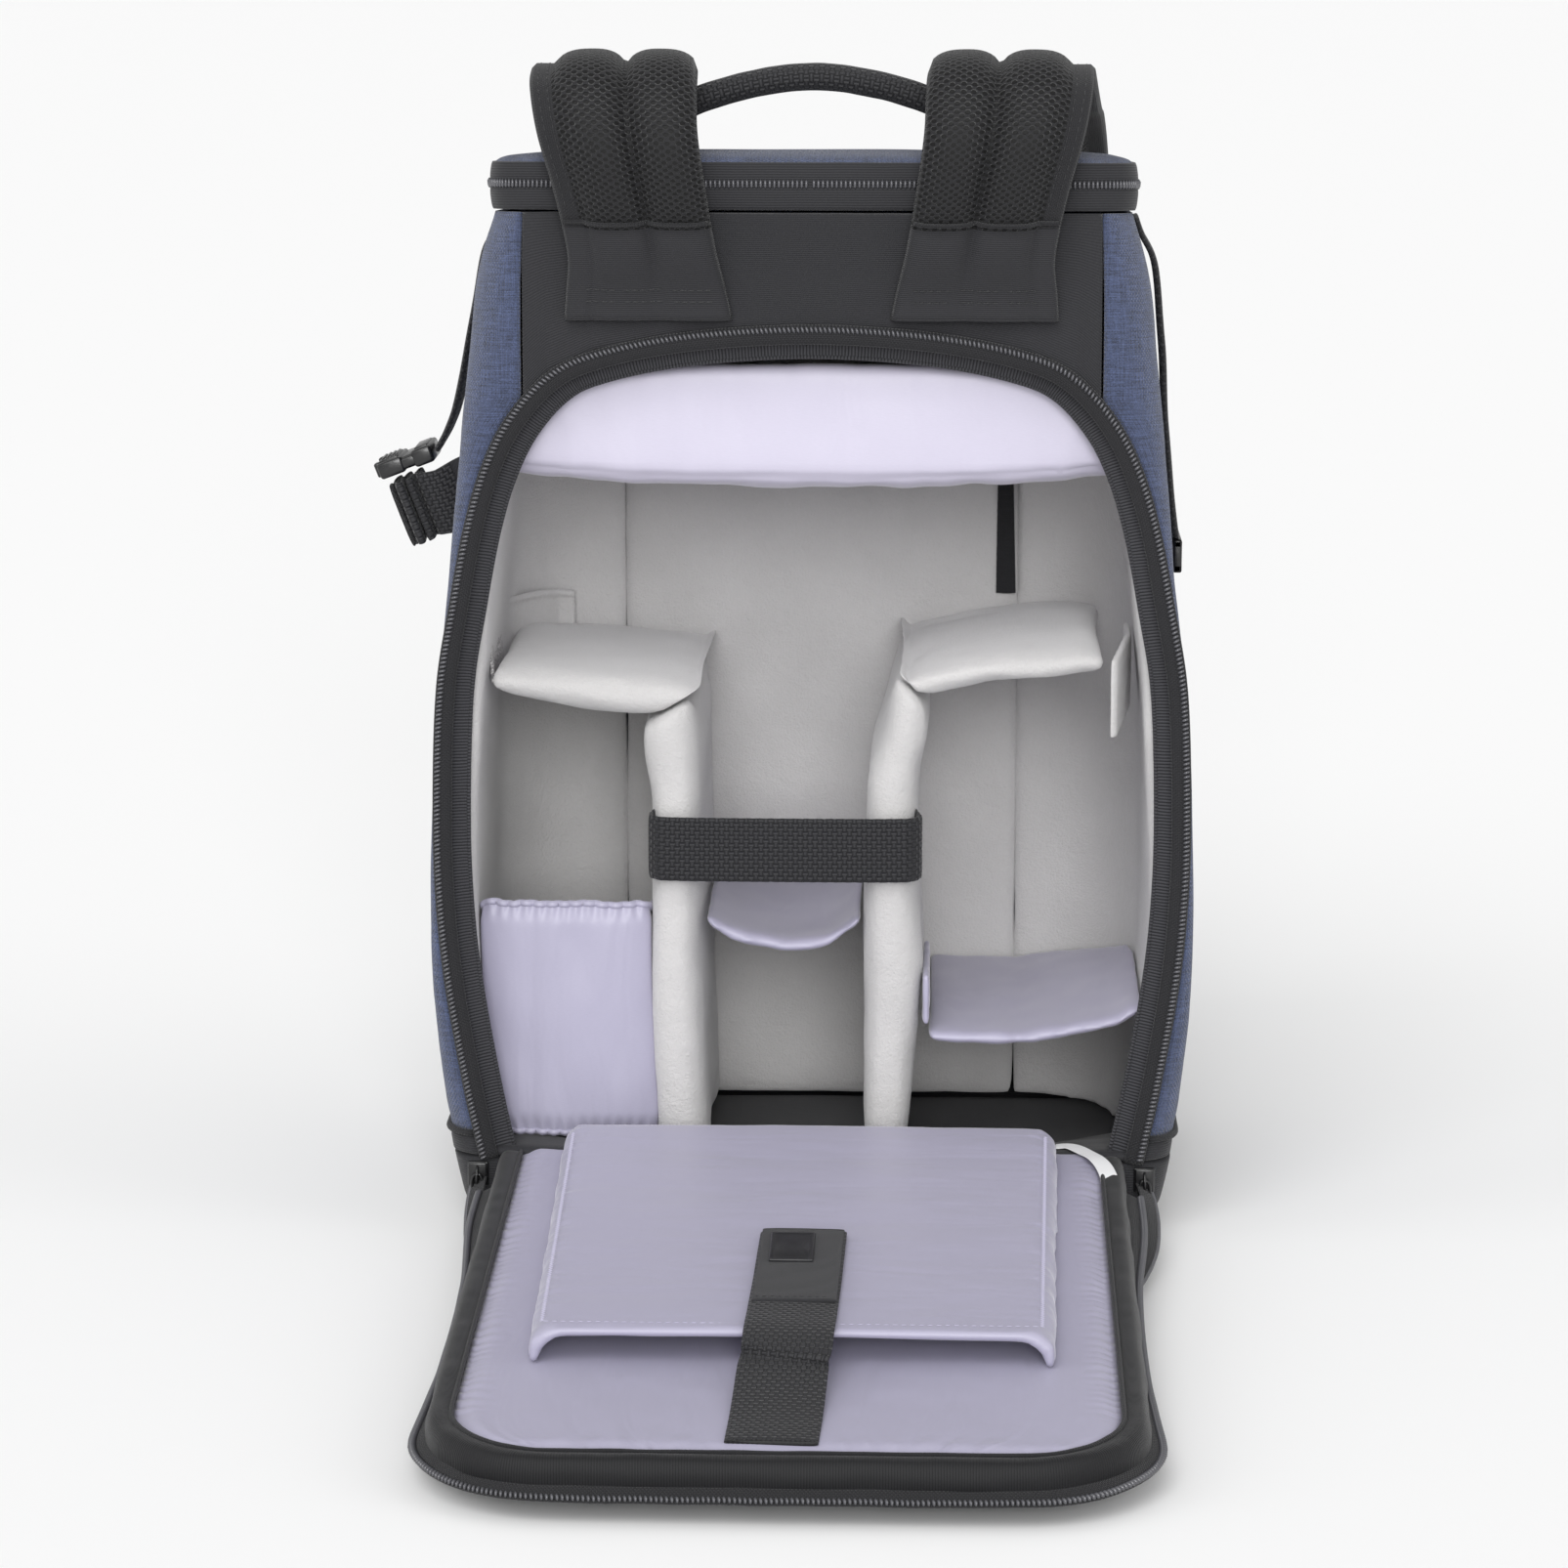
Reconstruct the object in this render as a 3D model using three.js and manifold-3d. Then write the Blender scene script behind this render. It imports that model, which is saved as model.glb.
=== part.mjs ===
// Camera backpack standing on its base, its rear access flap unzipped and laid on the floor.
// Millimetres. +X is to the right seen from the flap's side, +Y is into the bag, +Z is up.
// The origin is on the floor, under the middle of the body.
import * as THREE from 'three';
import { mergeVertices } from 'three/addons/utils/BufferGeometryUtils.js';
import Module from 'manifold-3d';

const wasm = await Module();
wasm.setup();

// Body
const body_width = 295;
const body_depth = 190;
const yoke_height = 43;
const base_height = 40;
const shell_wall = 3;
const bottom_round = 14;
const rear_round = 22;
const front_round = 38;
const front_crown = 5;
const yoke_width = 218;
const front_panel_width = 196;
const gap = 0.3;

// Lid
const lid_fall = 13;
const lid_band_height = 18;
const lid_band_proud = 1.5;
const lid_dome = 6;
const lid_wall = 3;

// Rear opening
const opening_sill = 30;
const opening_height = 325;
const opening_width = 288;
const gusset_width = 12.5;
const gusset_set_back = 6.5;
const fabric = 2.5;
const zip_width = 7.5;
const zip_thickness = 2.2;
const slider_length = 11;
const slider_width = 9;
const slider_depth = 3.6;

// Lining
const side_padding = 14;
const back_padding = 10;
const floor_padding = 12;
const compartment_depth = 134;
const liner_drop = 10;
const liner_round = 35;
const elastic_width = 8;

// Dividers
const divider_height = 186;
const shelf_thickness = 13;
const tab_thickness = 2.5;
const tab_reach = 60;
const tray_floor = 12;
const tray_lip = 12;
const tray_height = 50;
const tray_drop = 64;
const tray_ease = 1.2;
const pocket_height = 96;
const pocket_base = 33;
const cradle_width = 25.4;
const cradle_height = 152.5;
const cradle_reach = 62;
const webbing_thickness = 2;

// Access flap
const flap_width = 243;
const flap_length = 309;
const flap_round = 45;
const flap_thickness = 13.5;
const flap_rim_width = 8.8;
const flap_end_height = 19;
const flap_tongue = 10;
const lining_thickness = 2;
const flap_tape = 8;
const sleeve_width = 193;
const sleeve_length = 222;
const sleeve_height = 14;
const sleeve_wall = 4;
const closure_width = 31.5;
const closure_length = 160;
const closure_foot = 22;
const closure_climb = 48;
const badge_length = 29;
const badge_width = 16.5;
const badge_thickness = 1.4;
const label_width = 7;
const label_thickness = 0.8;

// Straps and handle
const strap_width = 62;
const strap_padding = 14;
const strap_spacing = 138;
const strap_binding = 8.5;
const binding_thickness = 3;
const webbing_width = 25;
const webbing_hang = 42;
const webbing_tuck = 16;
const pad_setback = 30;
const lock_length = 32;
const lock_thickness = 5;
const lock_slot_height = 3.6;
const lock_slot_offset = 9;
const handle_span = 132;
const handle_rise = 20;
const handle_diameter = 11;
const side_strap_thickness = 2.6;
const side_strap_setback = 12;

// Places worked out from the sizes above
const opening_top = opening_sill + opening_height;
const body_height = opening_top + yoke_height;
const liner_height = opening_top - liner_drop;
const tray_base = opening_top - tray_drop;
const rear = -body_depth / 2;
const half_body = body_width / 2;
const liner_rear = rear + gusset_set_back + fabric + 1.6;
const liner_front = liner_rear + compartment_depth + back_padding;
const divider_rear = liner_rear + 2.4;
const divider_front = liner_front - back_padding - gap;
const floor_top = shell_wall + gap + floor_padding;
const flap_hinge_height = opening_sill + lining_thickness + 2 * gap;
const flap_tilt = Math.asin((flap_hinge_height - flap_end_height) / flap_length);
const half_flap = flap_width / 2;
const half_sleeve = sleeve_width / 2;

// Body sections from the floor up: height as a share of body_height, half width as a share of
// half_body, front face as a share of body_depth, rear corner as a share of rear_round.
const BODY = [
  { up: 0.0, wide: 0.908, deep: 0.97, corner: 0.73 },
  { up: 0.08, wide: 0.953, deep: 0.985, corner: 0.64 },
  { up: 0.204, wide: 0.99, deep: 1.0, corner: 0.36 },
  { up: 0.307, wide: 1.0, deep: 1.0, corner: 0.27 },
  { up: 0.452, wide: 0.99, deep: 0.99, corner: 0.27 },
  { up: 0.548, wide: 0.97, deep: 0.98, corner: 0.27 },
  { up: 0.646, wide: 0.941, deep: 0.965, corner: 0.32 },
  { up: 0.784, wide: 0.909, deep: 0.94, corner: 0.55 },
  { up: 0.862, wide: 0.888, deep: 0.92, corner: 0.82 },
  { up: 0.937, wide: 0.864, deep: 0.89, corner: 0.95 },
  { up: 1.0, wide: 0.82, deep: 0.865, corner: 1.0 },
];

// Right half of the zip line from the sill up: shares of opening_height and of half the width.
const OPENING = [
  { up: 0.0, across: 0.889 },
  { up: 0.092, across: 0.931 },
  { up: 0.225, across: 0.979 },
  { up: 0.342, across: 1.0 },
  { up: 0.462, across: 1.0 },
  { up: 0.579, across: 0.986 },
  { up: 0.671, across: 0.951 },
  { up: 0.763, across: 0.91 },
  { up: 0.834, across: 0.861 },
  { up: 0.892, across: 0.795 },
  { up: 0.942, across: 0.694 },
  { up: 0.969, across: 0.57 },
  { up: 0.991, across: 0.326 },
  { up: 1.0, across: 0.0 },
];

// Lid surface from its edge inwards: inset as a share of half_body, rise as a share of lid_dome.
const LID = [
  { inset: 0.0, rise: 0.0 },
  { inset: 0.012, rise: 0.35 },
  { inset: 0.036, rise: 0.58 },
  { inset: 0.1, rise: 0.78 },
  { inset: 0.24, rise: 0.92 },
  { inset: 0.4, rise: 1.0 },
];

// Upright dividers: height as a share of divider_height above the floor pad, the two faces as
// shares of half_body.
const DIVIDER_LEFT = [
  { up: 0.0, from: -0.41, to: -0.281 },
  { up: 0.25, from: -0.42, to: -0.292 },
  { up: 0.46, from: -0.427, to: -0.298 },
  { up: 0.81, from: -0.425, to: -0.302 },
  { up: 0.94, from: -0.447, to: -0.302 },
  { up: 1.0, from: -0.451, to: -0.305 },
];
const DIVIDER_RIGHT = [
  { up: 0.0, from: 0.139, to: 0.244 },
  { up: 0.25, from: 0.139, to: 0.266 },
  { up: 0.46, from: 0.139, to: 0.288 },
  { up: 0.67, from: 0.138, to: 0.267 },
  { up: 0.88, from: 0.149, to: 0.278 },
  { up: 0.96, from: 0.188, to: 0.302 },
  { up: 1.05, from: 0.217, to: 0.305 },
];

// Shelves: place across as a share of half_body, underside and top as shares of divider_height.
const SHELF_LEFT = [
  { across: -0.9, low: 1.056, high: 1.1 },
  { across: -0.83, low: 1.045, high: 1.1 },
  { across: -0.69, low: 1.02, high: 1.096 },
  { across: -0.49, low: 1.003, high: 1.08 },
  { across: -0.38, low: 1.003, high: 1.073 },
  { across: -0.305, low: 1.004, high: 1.055 },
];
const SHELF_RIGHT = [
  { across: 0.221, low: 1.053, high: 1.075 },
  { across: 0.26, low: 1.053, high: 1.092 },
  { across: 0.31, low: 1.054, high: 1.107 },
  { across: 0.49, low: 1.083, high: 1.135 },
  { across: 0.72, low: 1.106, high: 1.15 },
  { across: 0.773, low: 1.105, high: 1.142 },
];
const SHELF_CENTER = [
  { across: -0.292, low: 0.56, high: 0.587 },
  { across: -0.21, low: 0.515, high: 0.545 },
  { across: -0.07, low: 0.495, high: 0.523 },
  { across: 0.04, low: 0.503, high: 0.53 },
  { across: 0.133, low: 0.563, high: 0.59 },
];
const SHELF_LOW = [
  { across: 0.297, low: 0.318, high: 0.346 },
  { across: 0.34, low: 0.31, high: 0.34 },
  { across: 0.56, low: 0.308, high: 0.338 },
  { across: 0.8, low: 0.345, high: 0.375 },
  { across: 0.9, low: 0.395, high: 0.42 },
];

// Padded tray of the top compartment: half width as a share of half the tray, underside and lip
// top as shares of tray_height.
const TRAY = [
  { across: 0.0, low: 0.0, lip: 1.0 },
  { across: 0.4, low: 0.02, lip: 0.995 },
  { across: 0.7, low: 0.05, lip: 0.985 },
  { across: 0.85, low: 0.08, lip: 0.93 },
  { across: 0.92, low: 0.1, lip: 0.79 },
  { across: 0.97, low: 0.11, lip: 0.6 },
  { across: 1.0, low: 0.12, lip: 0.46 },
];

// Shoulder strap from its root over the lid to its front end: y as a share of body_depth,
// height as a share of body_height, outward drift and width as shares of strap_width, padding
// as a share of strap_padding.
const STRAP = [
  { y: -0.512, up: 0.899, drift: -0.13, wide: 1.02, pad: 0.26 },
  { y: -0.52, up: 0.925, drift: -0.12, wide: 0.97, pad: 0.3 },
  { y: -0.54, up: 0.96, drift: -0.1, wide: 0.9, pad: 0.62 },
  { y: -0.563, up: 1.02, drift: -0.03, wide: 0.91, pad: 1.0 },
  { y: -0.57, up: 1.075, drift: 0.04, wide: 0.96, pad: 1.0 },
  { y: -0.53, up: 1.115, drift: 0.07, wide: 1.0, pad: 1.0 },
  { y: -0.44, up: 1.13, drift: 0.08, wide: 1.0, pad: 1.0 },
  { y: -0.3, up: 1.125, drift: 0.1, wide: 1.0, pad: 1.0 },
  { y: -0.1, up: 1.1, drift: 0.14, wide: 1.0, pad: 1.0 },
  { y: 0.12, up: 1.078, drift: 0.18, wide: 1.0, pad: 1.0 },
  { y: 0.33, up: 1.062, drift: 0.22, wide: 1.0, pad: 1.0 },
  { y: 0.47, up: 1.02, drift: 0.26, wide: 1.0, pad: 1.0 },
  { y: 0.54, up: 0.94, drift: 0.3, wide: 1.0, pad: 1.0 },
  { y: 0.57, up: 0.82, drift: 0.34, wide: 0.98, pad: 1.0 },
  { y: 0.58, up: 0.68, drift: 0.34, wide: 0.95, pad: 1.0 },
  { y: 0.585, up: 0.55, drift: 0.3, wide: 0.9, pad: 0.95 },
  { y: 0.585, up: 0.46, drift: 0.25, wide: 0.8, pad: 0.7 },
  { y: 0.58, up: 0.42, drift: 0.22, wide: 0.62, pad: 0.4 },
];

// Heights of the body's rings above its rounded bottom edge, as shares of body_height.
const RINGS = [0.08, 0.15, 0.22, 0.31, 0.4, 0.49, 0.58, 0.67, 0.76, 0.84, 0.91, 1];

const curveOf = (rows, key, column) => {
  const at = rows.map((row) => row[key]);
  const values = rows.map((row) => row[column]);
  const line = new THREE.CubicInterpolant(at, values, 1);
  return (share) => line.evaluate(share)[0];
};
const bodyWide = curveOf(BODY, 'up', 'wide');
const bodyDeep = curveOf(BODY, 'up', 'deep');
const bodyCorner = curveOf(BODY, 'up', 'corner');

// How far a point at depth y drops, because the lid falls towards the front.
const fallAt = (y, z) => {
  const ramp = THREE.MathUtils.clamp((z / body_height - 0.76) / 0.24, 0, 1);
  return (lid_fall * (y - rear) * ramp) / body_depth;
};

function bodyAt(z) {
  const share = Math.min(z / body_height, 1);
  return {
    half: half_body * bodyWide(share),
    front: rear + body_depth * bodyDeep(share),
    corner: rear_round * bodyCorner(share),
  };
}

// One corner of a ring: a quarter turn of an arc.
function arc(ring, cx, cy, radius, from, steps, z) {
  for (let i = 0; i <= steps; i += 1) {
    const angle = from + ((i / steps) * Math.PI) / 2;
    ring.push(new THREE.Vector3(cx + radius * Math.cos(angle), cy + radius * Math.sin(angle), z));
  }
}

function roundedRing(half, back, front, backRadius, frontRadius, z, crown = 0) {
  const ring = [];
  arc(ring, half - backRadius, back + backRadius, backRadius, -Math.PI / 2, 3, z);
  arc(ring, half - frontRadius, front - frontRadius, frontRadius, 0, 5, z);
  for (const share of [0.5, 0, -0.5]) {
    const y = front + crown * (1 - share * share);
    ring.push(new THREE.Vector3(share * (half - frontRadius), y, z));
  }
  arc(ring, frontRadius - half, front - frontRadius, frontRadius, Math.PI / 2, 5, z);
  arc(ring, backRadius - half, back + backRadius, backRadius, Math.PI, 3, z);
  return ring;
}

function bodyRing(z, inset, heightOf = z) {
  const at = bodyAt(heightOf);
  const bottom = Math.max(bottom_round - heightOf, 0);
  const tuck = bottom_round - Math.sqrt(bottom_round * bottom_round - bottom * bottom);
  const by = inset + tuck;
  const ring = roundedRing(
    at.half - by, rear + by, at.front - by,
    Math.max(at.corner - by, 1.5), Math.max(front_round - by, 4), z, front_crown,
  );
  for (const point of ring) point.z -= fallAt(point.y, point.z);
  return ring;
}

// Triangles that close a flat end ring, in the ring's own plane.
function capOf(ring) {
  const normal = new THREE.Vector3();
  ring.forEach((point, i) => {
    normal.add(new THREE.Vector3().crossVectors(point, ring[(i + 1) % ring.length]));
  });
  const size = [Math.abs(normal.x), Math.abs(normal.y), Math.abs(normal.z)];
  const drop = size.indexOf(Math.max(...size));
  const flat = ring.map((p) => new THREE.Vector2(...[p.x, p.y, p.z].filter((_, i) => i !== drop)));
  const outline = Math.sign(THREE.ShapeUtils.area(flat));
  return THREE.ShapeUtils.triangulateShape(flat, []).map((face) => {
    const turn = Math.sign(THREE.ShapeUtils.area(face.map((i) => flat[i])));
    return turn === outline ? face : [face[0], face[2], face[1]];
  });
}

// A closed solid through a row of rings that all have the same number of points.
function stack(rings) {
  const count = rings[0].length;
  const positions = rings.flat().flatMap((point) => [point.x, point.y, point.z]);
  const faces = [];
  for (let r = 0; r + 1 < rings.length; r += 1) {
    for (let i = 0; i < count; i += 1) {
      const a = r * count + i;
      const b = r * count + ((i + 1) % count);
      faces.push([a, b, b + count], [a, b + count, a + count]);
    }
  }
  const last = (rings.length - 1) * count;
  for (const [a, b, c] of capOf(rings[0])) faces.push([a, c, b]);
  for (const [a, b, c] of capOf(rings.at(-1))) faces.push([a + last, b + last, c + last]);
  const geometry = new THREE.BufferGeometry();
  geometry.setAttribute('position', new THREE.Float32BufferAttribute(positions, 3));
  geometry.setIndex(faces.flat());
  if (volumeOf(geometry) < 0) geometry.setIndex(faces.flatMap(([a, b, c]) => [a, c, b]));
  return geometry;
}

function volumeOf(geometry) {
  const place = geometry.getAttribute('position');
  const index = geometry.getIndex().array;
  const corner = [0, 1, 2].map(() => new THREE.Vector3());
  let sum = 0;
  for (let i = 0; i < index.length; i += 3) {
    corner.forEach((point, k) => point.fromBufferAttribute(place, index[i + k]));
    sum += corner[0].dot(new THREE.Vector3().crossVectors(corner[1], corner[2]));
  }
  return sum / 6;
}

function solidOf(source) {
  const bare = source.clone();
  bare.deleteAttribute('normal');
  bare.deleteAttribute('uv');
  const merged = mergeVertices(bare, 1e-4);
  return new wasm.Manifold(new wasm.Mesh({
    numProp: 3,
    vertProperties: new Float32Array(merged.getAttribute('position').array),
    triVerts: new Uint32Array(merged.getIndex().array),
  }));
}

function geometryOf(solid) {
  const mesh = solid.getMesh();
  const geometry = new THREE.BufferGeometry();
  geometry.setAttribute('position', new THREE.Float32BufferAttribute(mesh.vertProperties, 3));
  geometry.setIndex(Array.from(mesh.triVerts));
  return geometry;
}

// A box given by its lowest and highest corners, for cutting.
function blockSolid(low, high) {
  const size = high.map((value, i) => value - low[i]);
  const box = new THREE.BoxGeometry(...size);
  box.translate(...low.map((value, i) => value + size[i] / 2));
  return solidOf(box);
}

const point3 = (x, y, z) => new THREE.Vector3(x, y, z);

// A flat strap along a row of points: its width lies across the path, square to the normals.
function ribbon(points, normals, steps, sectionAt) {
  const path = new THREE.CatmullRomCurve3(points, false, 'centripetal');
  const facing = new THREE.CatmullRomCurve3(normals, false, 'centripetal');
  const rings = [];
  for (let i = 0; i <= steps; i += 1) {
    const share = i / steps;
    const tangent = path.getTangent(share);
    const normal = facing.getPoint(share).normalize();
    const across = new THREE.Vector3().crossVectors(tangent, normal).normalize();
    const out = new THREE.Vector3().crossVectors(across, tangent).normalize();
    const centre = path.getPoint(share);
    rings.push(sectionAt(share).map(([u, v]) => (
      centre.clone().addScaledVector(across, u).addScaledVector(out, v)
    )));
  }
  return stack(rings);
}

const flatSection = (width, thickness) => [
  [-width / 2, -thickness / 2], [width / 2, -thickness / 2],
  [width / 2, thickness / 2], [-width / 2, thickness / 2],
];

const group = new THREE.Group();
const flap = new THREE.Group();
flap.position.set(0, rear - gap, flap_hinge_height);
flap.rotation.x = flap_tilt;
group.add(flap);

const finish = (color, roughness) => new THREE.MeshStandardMaterial({ color, roughness, metalness: 0 });
const navy = finish(0x3c4a6e, 0.9);
const black_cloth = finish(0x26262a, 0.9);
const black_mesh = finish(0x1d1d20, 0.95);
const webbing = finish(0x1b1b1d, 0.85);
const plastic = finish(0x101012, 0.35);
const grey_lining = finish(0xd6d5d8, 0.95);
const lilac = finish(0xbdb9d2, 0.5);
const white_label = finish(0xf2f2f2, 0.7);

function piece(name, geometry, material, parent = group) {
  const mesh = new THREE.Mesh(geometry, material);
  mesh.name = name;
  parent.add(mesh);
  return mesh;
}

// The zip line, from the left end of the sill over the top to the right end.
function zipLine(steps) {
  const right = OPENING.map((row) => point3(
    (opening_width / 2) * row.across, 0, opening_sill + opening_height * row.up,
  ));
  const left = right.slice(0, -1).map((p) => point3(-p.x, 0, p.z));
  const line = new THREE.CatmullRomCurve3([...left, ...right.reverse()], false, 'centripetal');
  return Array.from({ length: steps + 1 }, (_, i) => {
    const tangent = line.getTangentAt(i / steps);
    return { at: line.getPointAt(i / steps), inward: point3(tangent.z, 0, -tangent.x) };
  });
}

// A band that follows the zip line: its section is given as inward distance and depth.
function alongZip(section, steps = 40) {
  return stack(zipLine(steps).map(({ at, inward }) => section.map(([d, y]) => {
    const place = at.clone().addScaledVector(inward, d);
    return point3(place.x, y, Math.max(place.z, opening_sill));
  })));
}

function buildBody() {
  const heights = [0, 1.5, 5, 9, bottom_round, ...RINGS.map((share) => share * body_height)];
  const outer = heights.map((z) => bodyRing(z, 0));
  const inner = [shell_wall, ...heights.slice(2)].map((z) => bodyRing(z, shell_wall));
  const above = inner.at(-1).map((point) => point.clone().setZ(point.z + lid_fall));
  let shell = solidOf(stack(outer)).subtract(solidOf(stack([...inner, above])));
  shell = shell.subtract(openingSolid());
  const tall = body_height + lid_fall;
  const wide = body_width;
  const half_yoke = yoke_width / 2;
  const half_front = front_panel_width / 2;
  const from = base_height + gap;
  const base = shell.intersect(blockSolid([-wide, -wide, -1], [wide, wide, base_height]));
  const yokeBox = (grow) => blockSolid(
    [-half_yoke - grow, rear - 1, opening_top - opening_height / 4],
    [half_yoke + grow, rear + 1 + rear_round, tall],
  );
  const frontBox = (grow) => blockSolid([-half_front - grow, 0, from], [half_front + grow, wide, tall]);
  const upper = shell.intersect(blockSolid([-wide, -wide, from], [wide, wide, tall]));
  const sides = upper.subtract(yokeBox(gap)).subtract(frontBox(gap));
  piece('base_panel', geometryOf(base), black_cloth);
  piece('rear_yoke', geometryOf(upper.intersect(yokeBox(0))), black_cloth);
  piece('front_panel', geometryOf(upper.intersect(frontBox(0))), navy);
  const half = (low, high) => sides.intersect(blockSolid([low, -wide, 0], [high, wide, tall]));
  piece('side_panel_left', geometryOf(half(-wide, 0)), navy);
  piece('side_panel_right', geometryOf(half(0, wide)), navy);
}

function openingSolid() {
  const depth = rear_round + shell_wall;
  return solidOf(stack([rear - 1, rear + depth].map((y) => (
    zipLine(40).map(({ at }) => point3(at.x, y, at.z))
  ))));
}

// Height of the lid's outer surface above the floor at one point.
const lidEdge = body_height + gap + lid_band_height + gap;
function lidTop(x, y) {
  const inset = Math.min(bodyAt(body_height).half - Math.abs(x), y - rear);
  const rise = curveOf(LID, 'inset', 'rise');
  return lidEdge + lid_dome * rise(Math.min(inset / half_body, 0.4)) - fallAt(y, body_height);
}

function buildLid() {
  const ring = (z, inset) => bodyRing(z, inset, body_height);
  const low = body_height + gap;
  const high = low + lid_band_height;
  const band = (inset, from, to) => solidOf(stack([ring(from, inset), ring(to, inset)]));
  const proud = -lid_band_proud;
  const bandSolid = band(proud, low, high).subtract(band(proud + lid_wall, low - 1, high + 1));
  piece('lid_zip_band', geometryOf(bandSolid), black_cloth);
  const dome = (inset, drop) => LID.map((row) => (
    ring(lidEdge + lid_dome * row.rise - drop, inset + half_body * row.inset)
  ));
  const outer = solidOf(stack(dome(0, 0)));
  const hollow = [ring(lidEdge - 1, lid_wall), ...dome(lid_wall, lid_wall).slice(1)];
  piece('top_lid', geometryOf(outer.subtract(solidOf(stack(hollow)))), navy);
}

function buildOpening() {
  piece('opening_gusset', alongZip([
    [gap, rear + 0.5], [gap, rear + 0.5 + fabric],
    [gusset_width, rear + gusset_set_back + fabric], [gusset_width, rear + gusset_set_back],
  ]), black_cloth);
  const face = rear - gap;
  piece('opening_zip', alongZip([
    [-1, face], [-1, face - 0.8], [1, face - zip_thickness], [zip_width * 0.55, face - zip_thickness],
    [zip_width - 1.5, face - 0.8], [zip_width - 1, face],
  ]), black_cloth);
  const half = bodyAt(0).half - bottom_round;
  const low = floor_top + gap;
  const sill = new THREE.BoxGeometry(2 * half, liner_rear - gap - (rear + shell_wall + gap),
    opening_sill - low - 0.6);
  sill.translate(0, (liner_rear + rear + shell_wall) / 2, (opening_sill - 0.6 + low) / 2);
  piece('hinge_sill', sill, black_cloth);
  for (const side of [-1, 1]) {
    const x = side * ((opening_width / 2) * OPENING[0].across + 1.5);
    const z = opening_sill - gap - slider_length / 2;
    const body = new THREE.BoxGeometry(slider_width, slider_depth, slider_length);
    body.translate(x, face - slider_depth / 2, z);
    const bridge = new THREE.BoxGeometry(slider_width / 3, slider_depth, slider_length - 2);
    bridge.translate(x, face - slider_depth, z);
    const slider = solidOf(body).add(solidOf(bridge));
    piece(side < 0 ? 'zip_slider_left' : 'zip_slider_right', geometryOf(slider), plastic);
  }
}

const linerHalf = (z) => bodyAt(z).half - shell_wall - gap - side_padding;

// The room inside the lining, open towards the rear; shrink leaves room for a fitted piece.
function roomRings(shrink, low, high) {
  const between = RINGS.map((share) => share * body_height).filter((z) => z > low && z < high);
  return [low, ...between, high].map((z) => roundedRing(
    linerHalf(z) - shrink, rear - side_padding, liner_front - back_padding - shrink,
    2, liner_round - shrink, z,
  ));
}

const fitted = (geometry) => {
  const room = solidOf(stack(roomRings(gap, floor_top, liner_height)));
  return geometryOf(solidOf(geometry).intersect(room));
};

function buildLining() {
  const low = floor_top + gap;
  const between = RINGS.map((share) => share * body_height).filter((z) => z > low && z < liner_height);
  const heights = [low, ...between, liner_height];
  const block = heights.map((z) => roundedRing(
    bodyAt(z).half, rear - side_padding, liner_front, 2, liner_round + back_padding, z,
  ));
  const inside = heights.map((z) => bodyRing(z, shell_wall + gap));
  const cutter = roomRings(0, low - 1, liner_height + 1);
  const room = blockSolid([-body_width, liner_rear, 0], [body_width, body_width, body_height]);
  const walls = solidOf(stack(block)).intersect(solidOf(stack(inside))).intersect(room)
    .subtract(solidOf(stack(cutter)));
  const corner = linerHalf(body_height * 0.86) - liner_round;
  const middle = (grow) => blockSolid(
    [-corner - grow, 0, 0], [corner + grow, body_width, body_height],
  );
  piece('back_liner', geometryOf(walls.intersect(middle(0))), grey_lining);
  const sides = walls.subtract(middle(gap));
  const half = (a, b) => sides.intersect(blockSolid([a, -body_width, 0], [b, body_width, body_height]));
  piece('side_liner_left', geometryOf(half(-body_width, 0)), grey_lining);
  piece('side_liner_right', geometryOf(half(0, body_width)), grey_lining);
  const pad = [0, 0.35, 1].map((share) => {
    const z = shell_wall + gap + share * floor_padding;
    return bodyRing(z, shell_wall + gap + 0.2).map((p) => (
      p.clone().setY(Math.min(p.y, liner_front))
    ));
  });
  piece('floor_liner', stack(pad), black_cloth);
  const strip_low = floor_top + divider_height * 1.155;
  const strip = new THREE.BoxGeometry(elastic_width, 1.4, tray_base - 2 - strip_low);
  strip.translate(half_body * 0.512, divider_front - 0.7, (strip_low + tray_base - 2) / 2);
  piece('elastic_strip', strip, webbing);
}

function uprightDivider(rows) {
  return stack(rows.map((row) => {
    const z = floor_top + gap + row.up * (divider_height - gap);
    const from = half_body * row.from;
    const to = half_body * row.to;
    const ring = [];
    const round = (to - from) * 0.42;
    arc(ring, to - round, divider_rear + round, round, -Math.PI / 2, 3, z);
    ring.push(point3(to, divider_front, z), point3(from, divider_front, z));
    arc(ring, from + round, divider_rear + round, round, Math.PI, 3, z);
    return ring;
  }));
}

const upTo = (share) => floor_top + divider_height * share;

// A shelf across a column, its front edge rounded.
function shelf(rows, front = divider_rear) {
  return stack(rows.map((row) => {
    const x = half_body * row.across;
    const low = upTo(row.low);
    const high = upTo(row.high);
    const round = (high - low) * 0.45;
    return [
      point3(x, divider_front, low), point3(x, front + round, low), point3(x, front, low + round),
      point3(x, front, high - round), point3(x, front + round, high), point3(x, divider_front, high),
    ];
  }));
}

// A thin upright tab between two heights; each end gives its x, and both give the depth range.
function tab(low, high, y) {
  return stack([low, high].map(({ x, z }) => [
    point3(x, y[0], z), point3(x + tab_thickness, y[0], z),
    point3(x + tab_thickness, y[1], z), point3(x, y[1], z),
  ]));
}

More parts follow.
